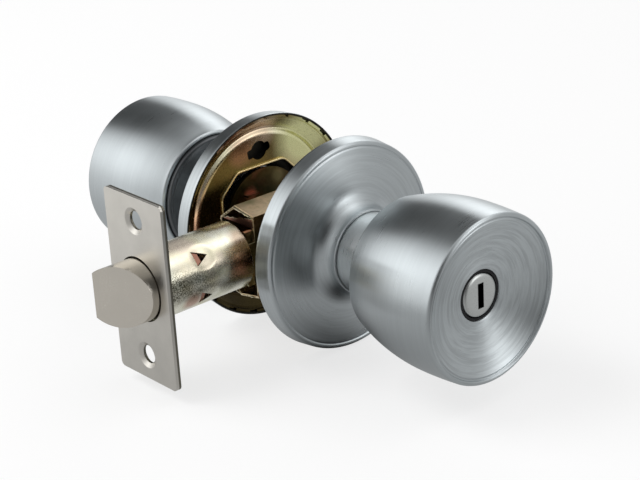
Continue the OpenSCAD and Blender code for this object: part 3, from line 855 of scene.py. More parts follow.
@dataclass(frozen=True)
class SatinPlating:
    """Smooth satin plating with a very fine grain."""

    name: str
    colour: Colour
    roughness: float = 0.3
    grain: float = 5200
    grain_depth: float = 0.004
    mottle: float = 0.04
    mottle_scale: float = 130
    grain_roughness: Point = (-0.03, 0.05)
    mottle_roughness: Point = (-0.02, 0.03)

    def build(self) -> bpy.types.Material:
        """Makes the material: fine grain, and a faint mottle of tone and roughness.

        Returns:
            The material.
        """
        f = Finish(self.name)
        grain = f.grain(self.grain)
        mottle = f.noise(f.place, self.mottle_scale, detail=3, roughness=0.55)
        low = tuple(c * (1 - self.mottle) for c in self.colour)
        high = tuple(min(1, c * (1 + self.mottle)) for c in self.colour)
        down, up = self.grain_roughness
        rough = f.math("ADD", f.spread(grain, self.roughness + down, self.roughness + up),
                       f.spread(mottle, *self.mottle_roughness))
        tone = f.ramp(mottle, [(GRAIN_BAND[0], low), (GRAIN_BAND[1], high)])
        f.set(Base_Color=tone, Metallic=1.0, Roughness=rough)
        f.bump(grain, self.grain_depth, GRAIN_STRENGTH)
        return f.material


@dataclass(frozen=True)
class ColourPatch:
    """A patch of colour at one place in the lock's frame; on the inside plate these paint light
    and shade.
    """

    centre: Place
    radius: float
    colour: Colour
    strength: float = 0.8
    speckled: bool = False


@dataclass(frozen=True)
class TintAndHighlightRing:
    """A bright tint on a ring round the spindle axis, a painted highlight, with one colour low on
    it and one high on it.
    """

    inner: float
    outer: float
    low: Colour
    high: Colour


@dataclass(frozen=True)
class YellowZinc:
    """Passivated zinc plating, cream to gold with green and pink stains."""

    name: str
    cream: Colour
    gold: Colour
    green: Colour
    pink: Colour
    roughness: float = 0.3
    stain_scale: float = 55
    stain_seed: float = 0.0
    speckle: float = 2600
    speckle_depth: float = 0.009
    speckle_band: Point = (0.46, 0.54)
    speckle_least: float = 0.35
    blotch: float = 0.4
    blotch_scale: float = 1.7
    blotch_band: Point = (0.54, 0.74)
    dirt: float = 0.5
    dirt_scale: float = 900
    dirt_band: Point = (0.5, 0.72)
    dirt_roughness: Point = (-0.04, 0.1)
    colour_patches: tuple[ColourPatch, ...] = ()
    spot_core: float = 0.45
    rings: tuple[TintAndHighlightRing, ...] = ()
    ring_fade: float = 0.35
    ring_rise: float = 20.0
    dents: tuple[Place, ...] = ()
    dent_radius: float = 4.6
    dent_floor: float = 0.3
    dent_depth: float = 0.55
    tone_stops: tuple[float, ...] = (0.36, 0.48, 0.58, 0.68)
    relief: float = 0.8

    def clouded(self, f: Finish, dirt: bpy.types.NodeSocket) -> bpy.types.NodeSocket:
        """Clouds of the four tones that run into each other.

        Args:
            f: The material.
            dirt: Noise that greens the plating in specks.

        Returns:
            The colour.
        """
        seed = self.stain_seed
        shift = f.vector("ADD", f.place, (seed, 0.3 * seed, -seed))
        cloud = f.noise(shift, self.stain_scale, detail=3, roughness=0.55)
        other = f.noise(shift, self.stain_scale * self.blotch_scale)
        tones = (self.green, self.cream, self.gold, self.pink)
        tone = f.ramp(cloud, list(zip(self.tone_stops, tones)))
        tone = f.mix(f.spread(other, 0, self.blotch, *self.blotch_band), tone, self.pink)
        return f.mix(f.spread(dirt, 0, self.dirt, *self.dirt_band), tone, self.green)

    def ringed(self, f: Finish, tone: bpy.types.NodeSocket) -> bpy.types.NodeSocket:
        """Lays the tint rings over a colour; on the plate they are a painted highlight on the
        bead.

        Args:
            f: The material.
            tone: The colour.

        Returns:
            The colour with its rings.
        """
        x, _, z = f.parts(f.place)
        radius = f.spindle_radius(x, z)
        for ring in self.rings:
            inside = f.spread(radius, 0, 1, ring.inner * MM, (ring.inner + self.ring_fade) * MM)
            beyond = f.spread(radius, 1, 0, (ring.outer - self.ring_fade) * MM, ring.outer * MM)
            tint = f.mix(f.spread(z, 0, 1, 0.0, self.ring_rise * MM), ring.low, ring.high)
            tone = f.mix(f.math("MULTIPLY", inside, beyond), tone, tint)
        return tone

    def patched(self, f: Finish, tone: bpy.types.NodeSocket,
                grain: bpy.types.NodeSocket) -> bpy.types.NodeSocket:
        """Lays the stains over a colour.

        Args:
            f: The material.
            tone: The colour.
            grain: Noise that breaks up the speckled patches.

        Returns:
            The colour with its stains.
        """
        for spot in self.colour_patches:
            fade = f.spread(f.distance(spot.centre), spot.strength, 0,
                            self.spot_core * spot.radius * MM, spot.radius * MM)
            if spot.speckled:
                broken = f.spread(grain, self.speckle_least, 1, *self.speckle_band)
                fade = f.math("MULTIPLY", fade, broken)
            tone = f.mix(fade, tone, spot.colour)
        return tone

    def build(self) -> bpy.types.Material:
        """Makes the material: clouded plating with tint rings, colour patches and dents, under a
        fine speckled grain; on the inside plate the rings and patches are painted light and shade.

        Returns:
            The material.
        """
        f = Finish(self.name)
        dirt = f.noise(f.place, self.dirt_scale, detail=4, roughness=0.7)
        grain = f.grain(self.speckle)
        tone = self.patched(f, self.ringed(f, self.clouded(f, dirt)), grain)
        down, up = self.dirt_roughness
        f.set(Base_Color=tone, Metallic=1.0,
              Roughness=f.spread(dirt, self.roughness + down, self.roughness + up))
        height = f.math("MULTIPLY", grain, self.speckle_depth)
        for centre in self.dents:
            rim = f.spread(f.distance(centre), 0, 1, self.dent_floor * self.dent_radius * MM,
                           self.dent_radius * MM, "SMOOTHSTEP")
            height = f.math("MULTIPLY_ADD", rim, self.dent_depth, height)
        f.bump(height, 1, self.relief)
        return f.material


@dataclass(frozen=True)
class SlottedFace:
    """Turned disc face with a slot along Z, whose dark inside and edge are painted shade."""

    name: str
    colour: Colour
    slot_half: Point
    slot_top: float
    slot_depth: float = 1.5
    slot_edge: float = 0.02
    roughness: float = 0.3
    grain: float = 4200
    grain_depth: float = 0.004
    grain_shade: float = 0.92
    grain_roughness: Point = (-0.04, 0.06)
    # Near black of the painted shade in the slot and on its edge
    dark_speckle_and_slot_shade: Colour = (0.004, 0.004, 0.004)

    def build(self) -> bpy.types.Material:
        """Makes the material: fine grain, and painted shade in the slot and on a strip round its
        edge.

        Returns:
            The material.
        """
        f = Finish(self.name)
        grain = f.grain(self.grain)
        x, y, z = f.parts(f.place)
        # Painted shade: the slot's walls and floor, and a strip of the face round the slot, turn
        # near black.
        bottom = self.slot_top - self.slot_depth
        deep = f.spread(f.math("ABSOLUTE", y), 0, 1, bottom * MM, (bottom + self.slot_edge) * MM)
        narrow, short = (f.math("LESS_THAN", f.math("ABSOLUTE", way), half * MM)
                         for way, half in zip((x, z), self.slot_half))
        slot_shaded = f.math("MULTIPLY", deep, f.math("MULTIPLY", narrow, short))
        low = tuple(c * self.grain_shade for c in self.colour)
        metal = f.ramp(grain, [(GRAIN_BAND[0], low), (GRAIN_BAND[1], self.colour)])
        down, up = self.grain_roughness
        f.set(Base_Color=f.mix(slot_shaded, metal, self.dark_speckle_and_slot_shade), Metallic=1.0,
              Roughness=f.spread(grain, self.roughness + down, self.roughness + up))
        f.bump(grain, self.grain_depth, GRAIN_STRENGTH)
        return f.material


@dataclass(frozen=True)
class MouldedNylon:
    """Matt moulded plastic."""

    name: str
    colour: Colour
    roughness: float = 0.55
    grain: float = 3500
    grain_depth: float = 0.008
    grain_band: Point = (0.35, 0.7)
    grain_roughness: Point = (-0.06, 0.1)
    gain: float = 1.7
    gloss: float = 0.15

    def build(self) -> bpy.types.Material:
        """Makes the material with a fine spark texture.

        Returns:
            The material.
        """
        f = Finish(self.name)
        grain = f.grain(self.grain)
        bright = tuple(c * self.gain for c in self.colour)
        tone = f.ramp(grain, list(zip(self.grain_band, (self.colour, bright))))
        down, up = self.grain_roughness
        f.set(Base_Color=tone, Specular_IOR_Level=self.gloss,
              Roughness=f.spread(grain, self.roughness + down, self.roughness + up))
        f.bump(grain, self.grain_depth, GRAIN_STRENGTH)
        return f.material


class Finishes:
    """All materials of the lock, made once."""

    def __init__(self) -> None:
        """Builds every finish."""
        self.make_steels()
        self.make_platings()
        self.make_zincs()
        self.nylon = MouldedNylon("black_nylon_moulding", (0.012, 0.012, 0.013)).build()

    def make_steels(self) -> None:
        """Makes the brushed steels of knobs, necks and roses, with a brighter copy for the necks
        as painted light and near black copies for the back covers and the roses' inner sides as
        painted shade.
        """
        tone = (0.535, 0.576, 0.592)
        self.steel = TurnedSteel("brushed_knob_steel", tone).build()
        self.steel_rose = TurnedSteel("brushed_rose_steel", tone, contrast=0.055).build()
        # Painted light: a brighter copy of the knob steel for the neck, which sits in the collar's
        # shade.
        self.steel_neck_lit = TurnedSteel("lit_neck_steel", (0.90, 0.94, 0.95),
                                      contrast=0.03).build()
        # Painted shade: a near black copy of the knob steel for the back cover, which faces the
        # rose in shade.
        self.steel_cover_shaded = TurnedSteel("shaded_cover_steel", (0.115, 0.120, 0.125), 0.34,
                                       0.6).build()
        # Painted shade: a near black copy of the steel for the hidden inner side of the roses.
        self.steel_inside_shaded = TurnedSteel("shaded_steel_inside", (0.035, 0.034, 0.030), 0.5,
                                        0.3).build()

    def make_platings(self) -> None:
        """Makes the even platings and bare edges, with painted shade in the disc's slot and a
        bright zinc for the plate's fold as a painted highlight.
        """
        disc_top = abs(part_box("release_disc")[0].y) / MM
        # Painted shade: the slot is painted near black over a half width a little wider than the
        # cut slot, which leaves a dark strip round its edge.
        self.disc = SlottedFace("slotted_disc_steel", (0.62, 0.64, 0.63), (1.13, 3.8),
                                disc_top).build()
        self.nickel = SatinPlating("satin_nickel_face", (0.60, 0.58, 0.535)).build()
        self.bolt = SatinPlating("satin_nickel_bolt", (0.68, 0.64, 0.57), 0.22, 7000, 0.001,
                                 0.02).build()
        self.backing = SatinPlating("shaded_backing_nickel", (0.17, 0.16, 0.13), 0.35).build()
        self.edge = SatinPlating("torn_edge_zinc", (0.80, 0.72, 0.52), 0.26).build()
        self.copper = SatinPlating("copper_lug", (0.36, 0.18, 0.13), 0.32).build()
        self.spring = SatinPlating("spring_steel_wire", (0.42, 0.42, 0.41), 0.25).build()
        # Painted highlight: a bright copy of the plate's zinc for the fold round its opening.
        self.fold_highlight = SatinPlating("fold_highlight_zinc", (0.95, 0.78, 0.44), 0.24).build()

    def make_zincs(self) -> None:
        """Makes the yellow zinc of tube, case and plates, and the dull zinc behind them; darker
        copies for case, plates and end caps are painted shade.
        """
        # Colour of the dark speckled patches on the front of the tube
        dark_speckle_and_slot_shade = (0.05, 0.042, 0.02)
        self.zinc = YellowZinc(
            "yellow_zinc_tube", (0.98, 0.97, 0.84), (0.88, 0.83, 0.62), (0.70, 0.71, 0.48),
            (0.86, 0.75, 0.62), 0.24, dirt=0.15, speckle_depth=0.005,
            dents=((-44.3, -7.7, 7.0), (-44.3, -9.0, -5.2)), colour_patches=(
                ColourPatch((-29.5, -6, 7), 5, (0.46, 0.33, 0.24)),
                ColourPatch((-50, -9, -5), 4, (0.52, 0.30, 0.22)),
                ColourPatch((-30, -10, 1), 6.5, (0.22, 0.16, 0.08)),
                ColourPatch((-56, -10.2, 1), 6.5, dark_speckle_and_slot_shade, 0.9, True),
                ColourPatch((-49, -10.3, 0.2), 6.5, dark_speckle_and_slot_shade, 0.8, True),
                ColourPatch((-43, -10.3, -1), 4.5, dark_speckle_and_slot_shade, 0.6, True),
                ColourPatch((-36, -10, -3), 5, dark_speckle_and_slot_shade, 0.6, True))).build()
        # Painted shade: a darker copy of the tube's yellow zinc for the case, which stands in
        # shade behind the tube.
        self.zinc_case = YellowZinc(
            "yellow_zinc_case", (0.66, 0.52, 0.34), (0.44, 0.33, 0.18), (0.30, 0.28, 0.16),
            (0.50, 0.30, 0.22), 0.30).build()
        # Painted light and shade on the plates inside the roses: a dark copy of the tube's zinc, a
        # bright tint ring as a painted highlight on the bead, light patches high on the right of
        # the inside plate as painted light, and near black patches low on its left and at its
        # bottom as painted shade.
        self.zinc_plate = YellowZinc(
            "yellow_zinc_plate", (0.21, 0.165, 0.07), (0.17, 0.115, 0.04), (0.18, 0.17, 0.07),
            (0.34, 0.17, 0.12), 0.22, 60, 0.4, speckle_depth=0.001, dirt=0.15,
            rings=(TintAndHighlightRing(24.9, 27.1, (0.95, 0.52, 0.45), (0.95, 0.90, 0.64)),), colour_patches=(
                ColourPatch((18, 19, 20), 13, (0.80, 0.80, 0.42), 0.9),
                ColourPatch((0, 19, 27), 8, (0.66, 0.50, 0.36)),
                ColourPatch((-7, 19, 22), 6, (0.42, 0.26, 0.19)),
                ColourPatch((-20, 19, -14), 16, (0.075, 0.06, 0.025)),
                ColourPatch((-4, 19, -27), 26, (0.035, 0.026, 0.010), 0.95))).build()
        # Painted shade: a near black copy of the yellow zinc for the end caps deep in the plate's
        # opening.
        self.zinc_deep_shaded = YellowZinc(
            "shaded_deep_zinc", (0.10, 0.08, 0.035), (0.075, 0.05, 0.02), (0.05, 0.05, 0.02),
            (0.14, 0.07, 0.04), 0.36, 150, 0.9, colour_patches=(
                ColourPatch((-5.2, 17.6, 8), 2.9, (0.42, 0.19, 0.13), 0.9),
                ColourPatch((6, 18, 11), 3.0, (0.22, 0.19, 0.09), 0.7))).build()
        self.zinc_dull = YellowZinc(
            "dull_zinc", (0.24, 0.19, 0.09), (0.18, 0.125, 0.05), (0.12, 0.12, 0.05),
            (0.28, 0.13, 0.09), 0.38, 90, 0.9).build()


# Geometry trees


def lathe_tree() -> GeometryTree:
    """Makes the tree that turns a closed outline about Z.

    Returns:
        The tree. X of the outline is the radius less one metre, and Y is minus the height.
    """
    made = GeometryTree("turned_sheet", {"Segments": "Int"})
    outline = made.add("MeshToCurve", Mesh=made.given("Geometry"))
    circle = made.add("CurvePrimitiveCircle", Resolution=made.given("Segments"), Radius=1.0)
    body = made.add("CurveToMesh", Curve=circle.outputs["Curve"],
                    Profile_Curve=outline.outputs["Curve"])
    made.end(body.outputs["Mesh"])
    return made


def sweep_tree() -> GeometryTree:
    """Makes the tree that sweeps a rounded rectangle along a flat closed path.

    Returns:
        The tree. Depth is along Z.
    """
    sizes = {"Width": "Float", "Depth": "Float", "Fillet": "Float"}
    made = GeometryTree("swept_edge", sizes)
    path = made.add("MeshToCurve", Mesh=made.given("Geometry"))
    level = made.add("SetCurveNormal", Curve=path.outputs["Curve"])
    level.mode = "Z_UP"
    bar = made.add("CurvePrimitiveQuadrilateral", Width=made.given("Width"),
                   Height=made.given("Depth"))
    rounded = made.add("FilletCurve", Curve=bar.outputs["Curve"])
    rounded.mode = "POLY"
    for target in rounded.inputs:
        if target.name == "Radius":
            join(made.tree, made.given("Fillet"), target)
        elif target.name == "Count":
            target.default_value = SWEEP_CHORDS
    body = made.add("CurveToMesh", Curve=level.outputs["Curve"],
                    Profile_Curve=rounded.outputs["Curve"])
    made.end(body.outputs["Mesh"])
    return made


def ring_tree() -> GeometryTree:
    """Makes the tree that repeats the given piece round a circle about Z.

    Returns:
        The tree.
    """
    made = GeometryTree("ring_of_copies", {"Count": "Int", "Radius": "Float"})
    circle = made.add("CurvePrimitiveCircle", Resolution=made.given("Count"),
                      Radius=made.given("Radius"))
    stations = made.add("CurveToPoints", Curve=circle.outputs["Curve"], Count=made.given("Count"))
    stations.mode = "EVALUATED"
    copies = made.add("InstanceOnPoints", Points=stations.outputs["Points"],
                      Instance=made.given("Geometry"), Rotation=stations.outputs["Rotation"])
    made.end(copies.outputs["Instances"])
    return made


class Workshop:
    """Makes pieces and hands them to the frame."""

    def __init__(self, finishes: Finishes) -> None:
        """Keeps the finishes and builds the trees.

        Args:
            finishes: All materials.
        """
        self.finishes = finishes
        self.lathe = lathe_tree()
        self.sweep = sweep_tree()
        self.rings = ring_tree()

    def body_of(self, node: str) -> str:
        """Name of the body that holds a node."""
        bodies = frame["record"]["behaviour"]["bodies"]
        return next(body for body, nodes in bodies.items() if node in nodes)

    def hand_over(self, obj: bpy.types.Object, carrier: str,
                  nodes: Sequence[str] = ()) -> None:
        """Lets a finished piece ride on a body.

        Args:
            obj: The piece.
            carrier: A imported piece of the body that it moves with.
            nodes: Nodes that it stands for.
        """
        body = self.body_of(carrier)
        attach(obj, body)
        if nodes:
            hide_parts(*nodes)
        LOG.info("%s: %d faces, on %s", obj.name, len(obj.data.polygons), body)

    def turned(self, name: str, outline: Path, place: Matrix, finish: bpy.types.Material,
               segments: int = 192) -> bpy.types.Object:
        """Turns an outline of radius and height.

        Args:
            name: Name of the piece.
            outline: Closed outline in millimetres.
            place: Where the lathe frame lies in the lock.
            finish: Its material.
            segments: Number of faces round it.

        Returns:
            The piece.
        """
        obj = new_object(name, loop_mesh(name, [(r * MM - 1, -h * MM, 0) for r, h in outline]))
        self.lathe.run(obj, Segments=segments, Finish=finish)
        obj.data.transform(place)
        outward(obj.data)
        smooth(obj.data)
        return obj

    def refined(self, node: str, finish: bpy.types.Material, width: float,
                segments: int = 2) -> bpy.types.Object:
        """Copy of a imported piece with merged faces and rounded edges.

        Args:
            node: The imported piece.
            finish: Its material.
            width: Width of the rounding in millimetres.
            segments: Number of faces across it.

        Returns:
            The copy.
        """
        mesh = frame["nodes"][node].data.copy()
        with editing(mesh) as form:
            bmesh.ops.remove_doubles(form, verts=form.verts, dist=PACKED_MERGE)
            bmesh.ops.dissolve_limit(form, angle_limit=math.radians(PACKED_FLAT),
                                     verts=form.verts, edges=form.edges)
        mesh.materials.clear()
        mesh.materials.append(finish)
        obj = new_object(f"{node}_dressed", mesh)
        soften(obj, width, segments)
        return obj

    def repaint(self, obj: bpy.types.Object, finish: bpy.types.Material,
                chosen: Callable[[Vector, Vector], bool]) -> None:
        """Gives some faces of a piece another material.

        Args:
            obj: The piece.
            finish: The other material.
            chosen: Whether a face with this middle and normal gets it.
        """
        obj.data.materials.append(finish)
        for face in obj.data.polygons:
            if chosen(face.center, face.normal):
                face.material_index = 1

    def dress(self, node: str, finish: bpy.types.Material) -> None:
        """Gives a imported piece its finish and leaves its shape.

        Args:
            node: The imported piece.
            finish: Its material.
        """
        mesh = frame["nodes"][node].data
        mesh.materials.clear()
        mesh.materials.append(finish)


@dataclass
class Knob:
    """One knob: spun shell, neck with back cover, and what sits in the face.

    Heights are from the door. rim_groove goes from the crest of the rim inwards and down, each
    step with its fillet, and hole_roll from the hole outwards and down. cover_shoulder and
    cover_groove go from the edge of the cover inwards, the groove also up from the foot of its
    bead, and both end with their fillet. cover_skirt goes outwards and up from the edge.
    """

    side: Side
    disc_rounding: float = 0.12
    button_rounding: float = 0.5
    rim_bead: float = 1.0
    rim_groove: tuple[Corner, ...] = ((0.35, 0.1, 0.15), (0.62, 0.75, 0.2), (0.95, 0.8, 0.2))
    rim_land: float = 1.3
    rear_roll: float = 0.9
    wide_height: float = 51.0
    rim_radius: float = 25.05
    rear_radius: float = 21.2
    dish_depth: float = 5.3
    dish_start: float = 0.7
    hole_radius: float = 7.55
    hole_roll: tuple[Point, ...] = ((0.1, 0.05), (0.0, 0.25))
    hole_edge: float = 0.35
    wall: float = 0.7
    barrel_steps: int = 60
    dish_steps: int = 36
    mouth_radius: float = 4.6
    neck_radius: float = 12.15
    neck_end: float = 2.4
    neck_roll: float = 0.8
    neck_step: Point = (7.5, 8.0)
    running_radius: float = 12.34
    neck_fillet: float = 1.3
    cover_radius: float = 19.7
    cover_height: float = 26.6
    cover_bead: float = 1.0
    cover_roll: float = 0.8
    cover_shoulder: Point = (2.4, 0.5)
    cover_groove: Corner = (1.5, 0.2, 0.3)
    cover_skirt: tuple[Point, ...] = ((0.0, 1.4), (0.6, 3.2))
    core_wall: float = 0.7
    seat_height: float = 38.0
    seat_play: float = 0.1
    # Radius past which the core is painted near black as shade
    shade_radius: float = 13.0
    lug_gap: float = 0.15
    lug_inset: float = 2.0
    collar_reach: float = 14.0
    low: float = field(init=False)
    high: float = field(init=False)
    radius: float = field(init=False)

    def __post_init__(self) -> None:
        """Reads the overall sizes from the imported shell."""
        box_low, box_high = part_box(self.side.node("knob_shell"))
        ends = sorted(abs(y - self.side.door_y()) / MM for y in (box_low.y, box_high.y))
        self.low, self.high = ends
        self.radius = (box_high.x - box_low.x) / 2 / MM

    def barrel(self, height: float) -> float:
        """Radius of the barrel, which is one arc to each side of its widest place.

        Args:
            height: Height from the door.

        Returns:
            The outer radius.
        """
        if height < self.wide_height:
            run = self.wide_height - self.low - self.rear_roll
            drop = self.radius - self.rear_radius
        else:
            run = self.high - self.rim_bead - self.wide_height
            drop = self.radius - self.rim_radius
        bend = (run * run + drop * drop) / (2 * drop)
        return self.radius - bend + math.sqrt(bend * bend - (height - self.wide_height) ** 2)

    def dish_edge(self) -> float:
        """Radius where the dished face starts."""
        return self.rim_radius - self.rim_bead - self.rim_land

    def dish(self, radius: float) -> float:
        """Height of the dished face at a radius."""
        rise = (self.dish_depth - self.dish_start) * (radius / self.dish_edge()) ** 2
        return self.high - self.dish_depth + rise

    def shell_outline(self) -> Path:
        """Outline of the shell, from the rear roll over barrel and rim to the face hole.

        Returns:
            The closed outline.
        """
        low, top = self.low + self.rear_roll, self.high - self.rim_bead
        path = arc((self.rear_radius - self.rear_roll, low), self.rear_roll, start=262, end=352,
                   steps=8)
        heights = (low + (top - low) * i / self.barrel_steps for i in
                   range(1, self.barrel_steps + 1))
        path += [(self.barrel(height), height) for height in heights]
        crest, edge = self.rim_radius - self.rim_bead, self.dish_edge()
        path += arc((crest, top), self.rim_bead, start=10, end=90, steps=10)
        groove = [(crest - inwards, self.high - down, fillet)
                  for inwards, down, fillet in self.rim_groove]
        path += filleted([(crest, self.high, 0), *groove, (edge, self.dish(edge), 0)])[1:]
        inner = self.hole_radius + self.hole_edge
        radii = (edge - (edge - inner) * i / self.dish_steps for i in
                 range(1, self.dish_steps + 1))
        path += [(radius, self.dish(radius)) for radius in radii]
        path += [(self.hole_radius + out, self.dish(self.hole_radius) - down)
                 for out, down in self.hole_roll]
        return sheet(path, self.wall)

    def core_outline(self) -> Path:
        """Outline of the neck and the back cover.

        Returns:
            The closed outline.
        """
        neck, run, cover = self.neck_radius, self.running_radius, self.cover_height
        outer, roll, foot = self.cover_radius, self.cover_roll, cover - self.cover_bead
        end, (step, stepped) = self.neck_end, self.neck_step
        inwards, shoulder = self.cover_shoulder
        deeper, up, groove = self.cover_groove
        path = filleted([(self.mouth_radius, end, 0), (neck, end, self.neck_roll), (neck, step, 0),
                         (run, stepped, 0), (run, cover, self.neck_fillet),
                         (outer - inwards, cover, shoulder), (outer - deeper, foot + up, groove)],
                        steps=8)[:-1]
        path += arc((outer - roll, foot + roll), roll, start=235, end=360)
        path += [(outer + out, cover + rise) for out, rise in self.cover_skirt]
        seat = self.barrel(self.seat_height) - self.wall - self.seat_play
        path.append((seat, self.seat_height))
        return sheet(path, self.core_wall)

    def lug_window(self) -> bpy.types.Object:
        """Makes the solid that cuts the window in the neck for the lock lug.

        Returns:
            The cutter.
        """
        low, high = (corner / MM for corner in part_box("lock_lug"))
        gap, reach, root = self.lug_gap, self.collar_reach, high.x - self.lug_inset
        plan = [(root, low.y - gap), (reach, low.y - gap), (reach, high.y + gap),
                (root, high.y + gap)]
        return prism("lug_window", plan, low.z - gap, high.z + gap)

    def build_face(self, shop: Workshop) -> None:
        """Dresses the disc of the outside knob or the turn button of the inside one.

        Args:
            shop: Where it is made.
        """
        if self.side is Side.OUTSIDE:
            disc = shop.refined("release_disc", shop.finishes.disc, self.disc_rounding)
            shop.hand_over(disc, "release_disc", ["release_disc"])
        else:
            button = shop.refined("turn_button", shop.finishes.nickel, self.button_rounding,
                                  segments=4)
            shop.hand_over(button, "turn_button", ["turn_button"])

    def build(self, shop: Workshop) -> None:
        """Makes shell, core and what sits in the face.

        Args:
            shop: Where they are made.
        """
        place = self.side.place()
        shell_node, core_node = self.side.node("knob_shell"), self.side.node("knob_core")
        shell = shop.turned(self.side.node("shell_spun"), self.shell_outline(), place,
                            shop.finishes.steel)
        shop.hand_over(shell, shell_node, [shell_node])
        core = shop.turned(self.side.node("core_drawn"), self.core_outline(), place,
                           shop.finishes.steel_neck_lit)
        if self.side is Side.INSIDE:
            cut_away(core, [self.lug_window()])
            smooth(core.data)
        # Painted shade: the back cover, past a radius from the axis, gets a near black copy of the
        # steel.
        shop.repaint(core, shop.finishes.steel_cover_shaded,
                     lambda at, way: at.xz.length > self.shade_radius * MM)
        shop.hand_over(core, core_node, [core_node])
        self.build_face(shop)


@dataclass
class Rose:
    """A drawn rose with its rounded edge and flare.

    Heights are from the door. rim_groove goes from the crest of the rim inwards and down, each
    step with its fillet.
    """

    side: Side
    rim_height: float = 5.35
    edge_radius: float = 32.05
    edge_steps: int = 6
    bead: float = 0.9
    rim_groove: tuple[Corner, ...] = ((0.4, 0.02, 0.1), (0.65, 0.28, 0.15), (1.1, 0.02, 0.4),
                                      (2.4, -0.12, 0))
    crown: float = 0.12
    crown_steps: int = 20
    face_height: float = 6.5
    flare: float = 5.2
    collar_radius: float = 13.1
    collar_lip: float = 0.4
    wall: float = 0.7
    inner_height: float = 9.0
    inner_facing: float = -0.1
    segments: int = 224

    def outline(self) -> Path:
        """Outline of the drawn sheet, from the door to the collar.

        Returns:
            The closed outline.
        """
        low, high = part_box(self.side.node("rose"))
        radius = (high.x - low.x) / 2 / MM
        top = self.rim_height - self.bead
        crest = self.edge_radius - self.bead
        steps = self.edge_steps
        path = [(radius - (radius - self.edge_radius) * i / steps, top * i / steps)
                for i in range(steps)]
        path += arc((crest, top), self.bead, start=6, end=90)
        groove = [(crest - inwards, self.rim_height - down, fillet)
                  for inwards, down, fillet in self.rim_groove]
        path += filleted([(crest, self.rim_height, 0), *groove])[1:]
        centre = (self.collar_radius + self.flare, self.face_height + self.flare)
        foot = arc(centre, self.flare, start=266, end=180, steps=24)
        start, end = path[-1], foot[0]
        for t in (i / self.crown_steps for i in range(1, self.crown_steps)):
            path.append((start[0] + (end[0] - start[0]) * t, start[1] + (end[1] - start[1]) * t
                         + self.crown * math.sin(math.pi * t)))
        path += foot + [(self.collar_radius, self.face_height + self.flare + self.collar_lip)]
        return sheet(path, self.wall)

    def build(self, shop: Workshop) -> None:
        """Makes the rose.

        Args:
            shop: Where it is made.
        """
        node = self.side.node("rose")
        obj = shop.turned(f"{node}_drawn", self.outline(), self.side.place(),
                          shop.finishes.steel_rose, self.segments)
        away, bare = self.side.away, abs(self.side.door_y()) + self.inner_height * MM

        def inner(at: Vector, way: Vector) -> bool:
            """Whether a face belongs to the hidden side of the sheet, which is painted near black
            as shade.
            """
            facing = (at.x * way.x + at.z * way.z) / at.xz.length + away * way.y
            return facing < self.inner_facing and abs(at.y) < bare

        # Painted shade: the inner side of the sheet gets a near black copy of the steel.
        shop.repaint(obj, shop.finishes.steel_inside_shaded, inner)
        shop.hand_over(obj, node, [node])


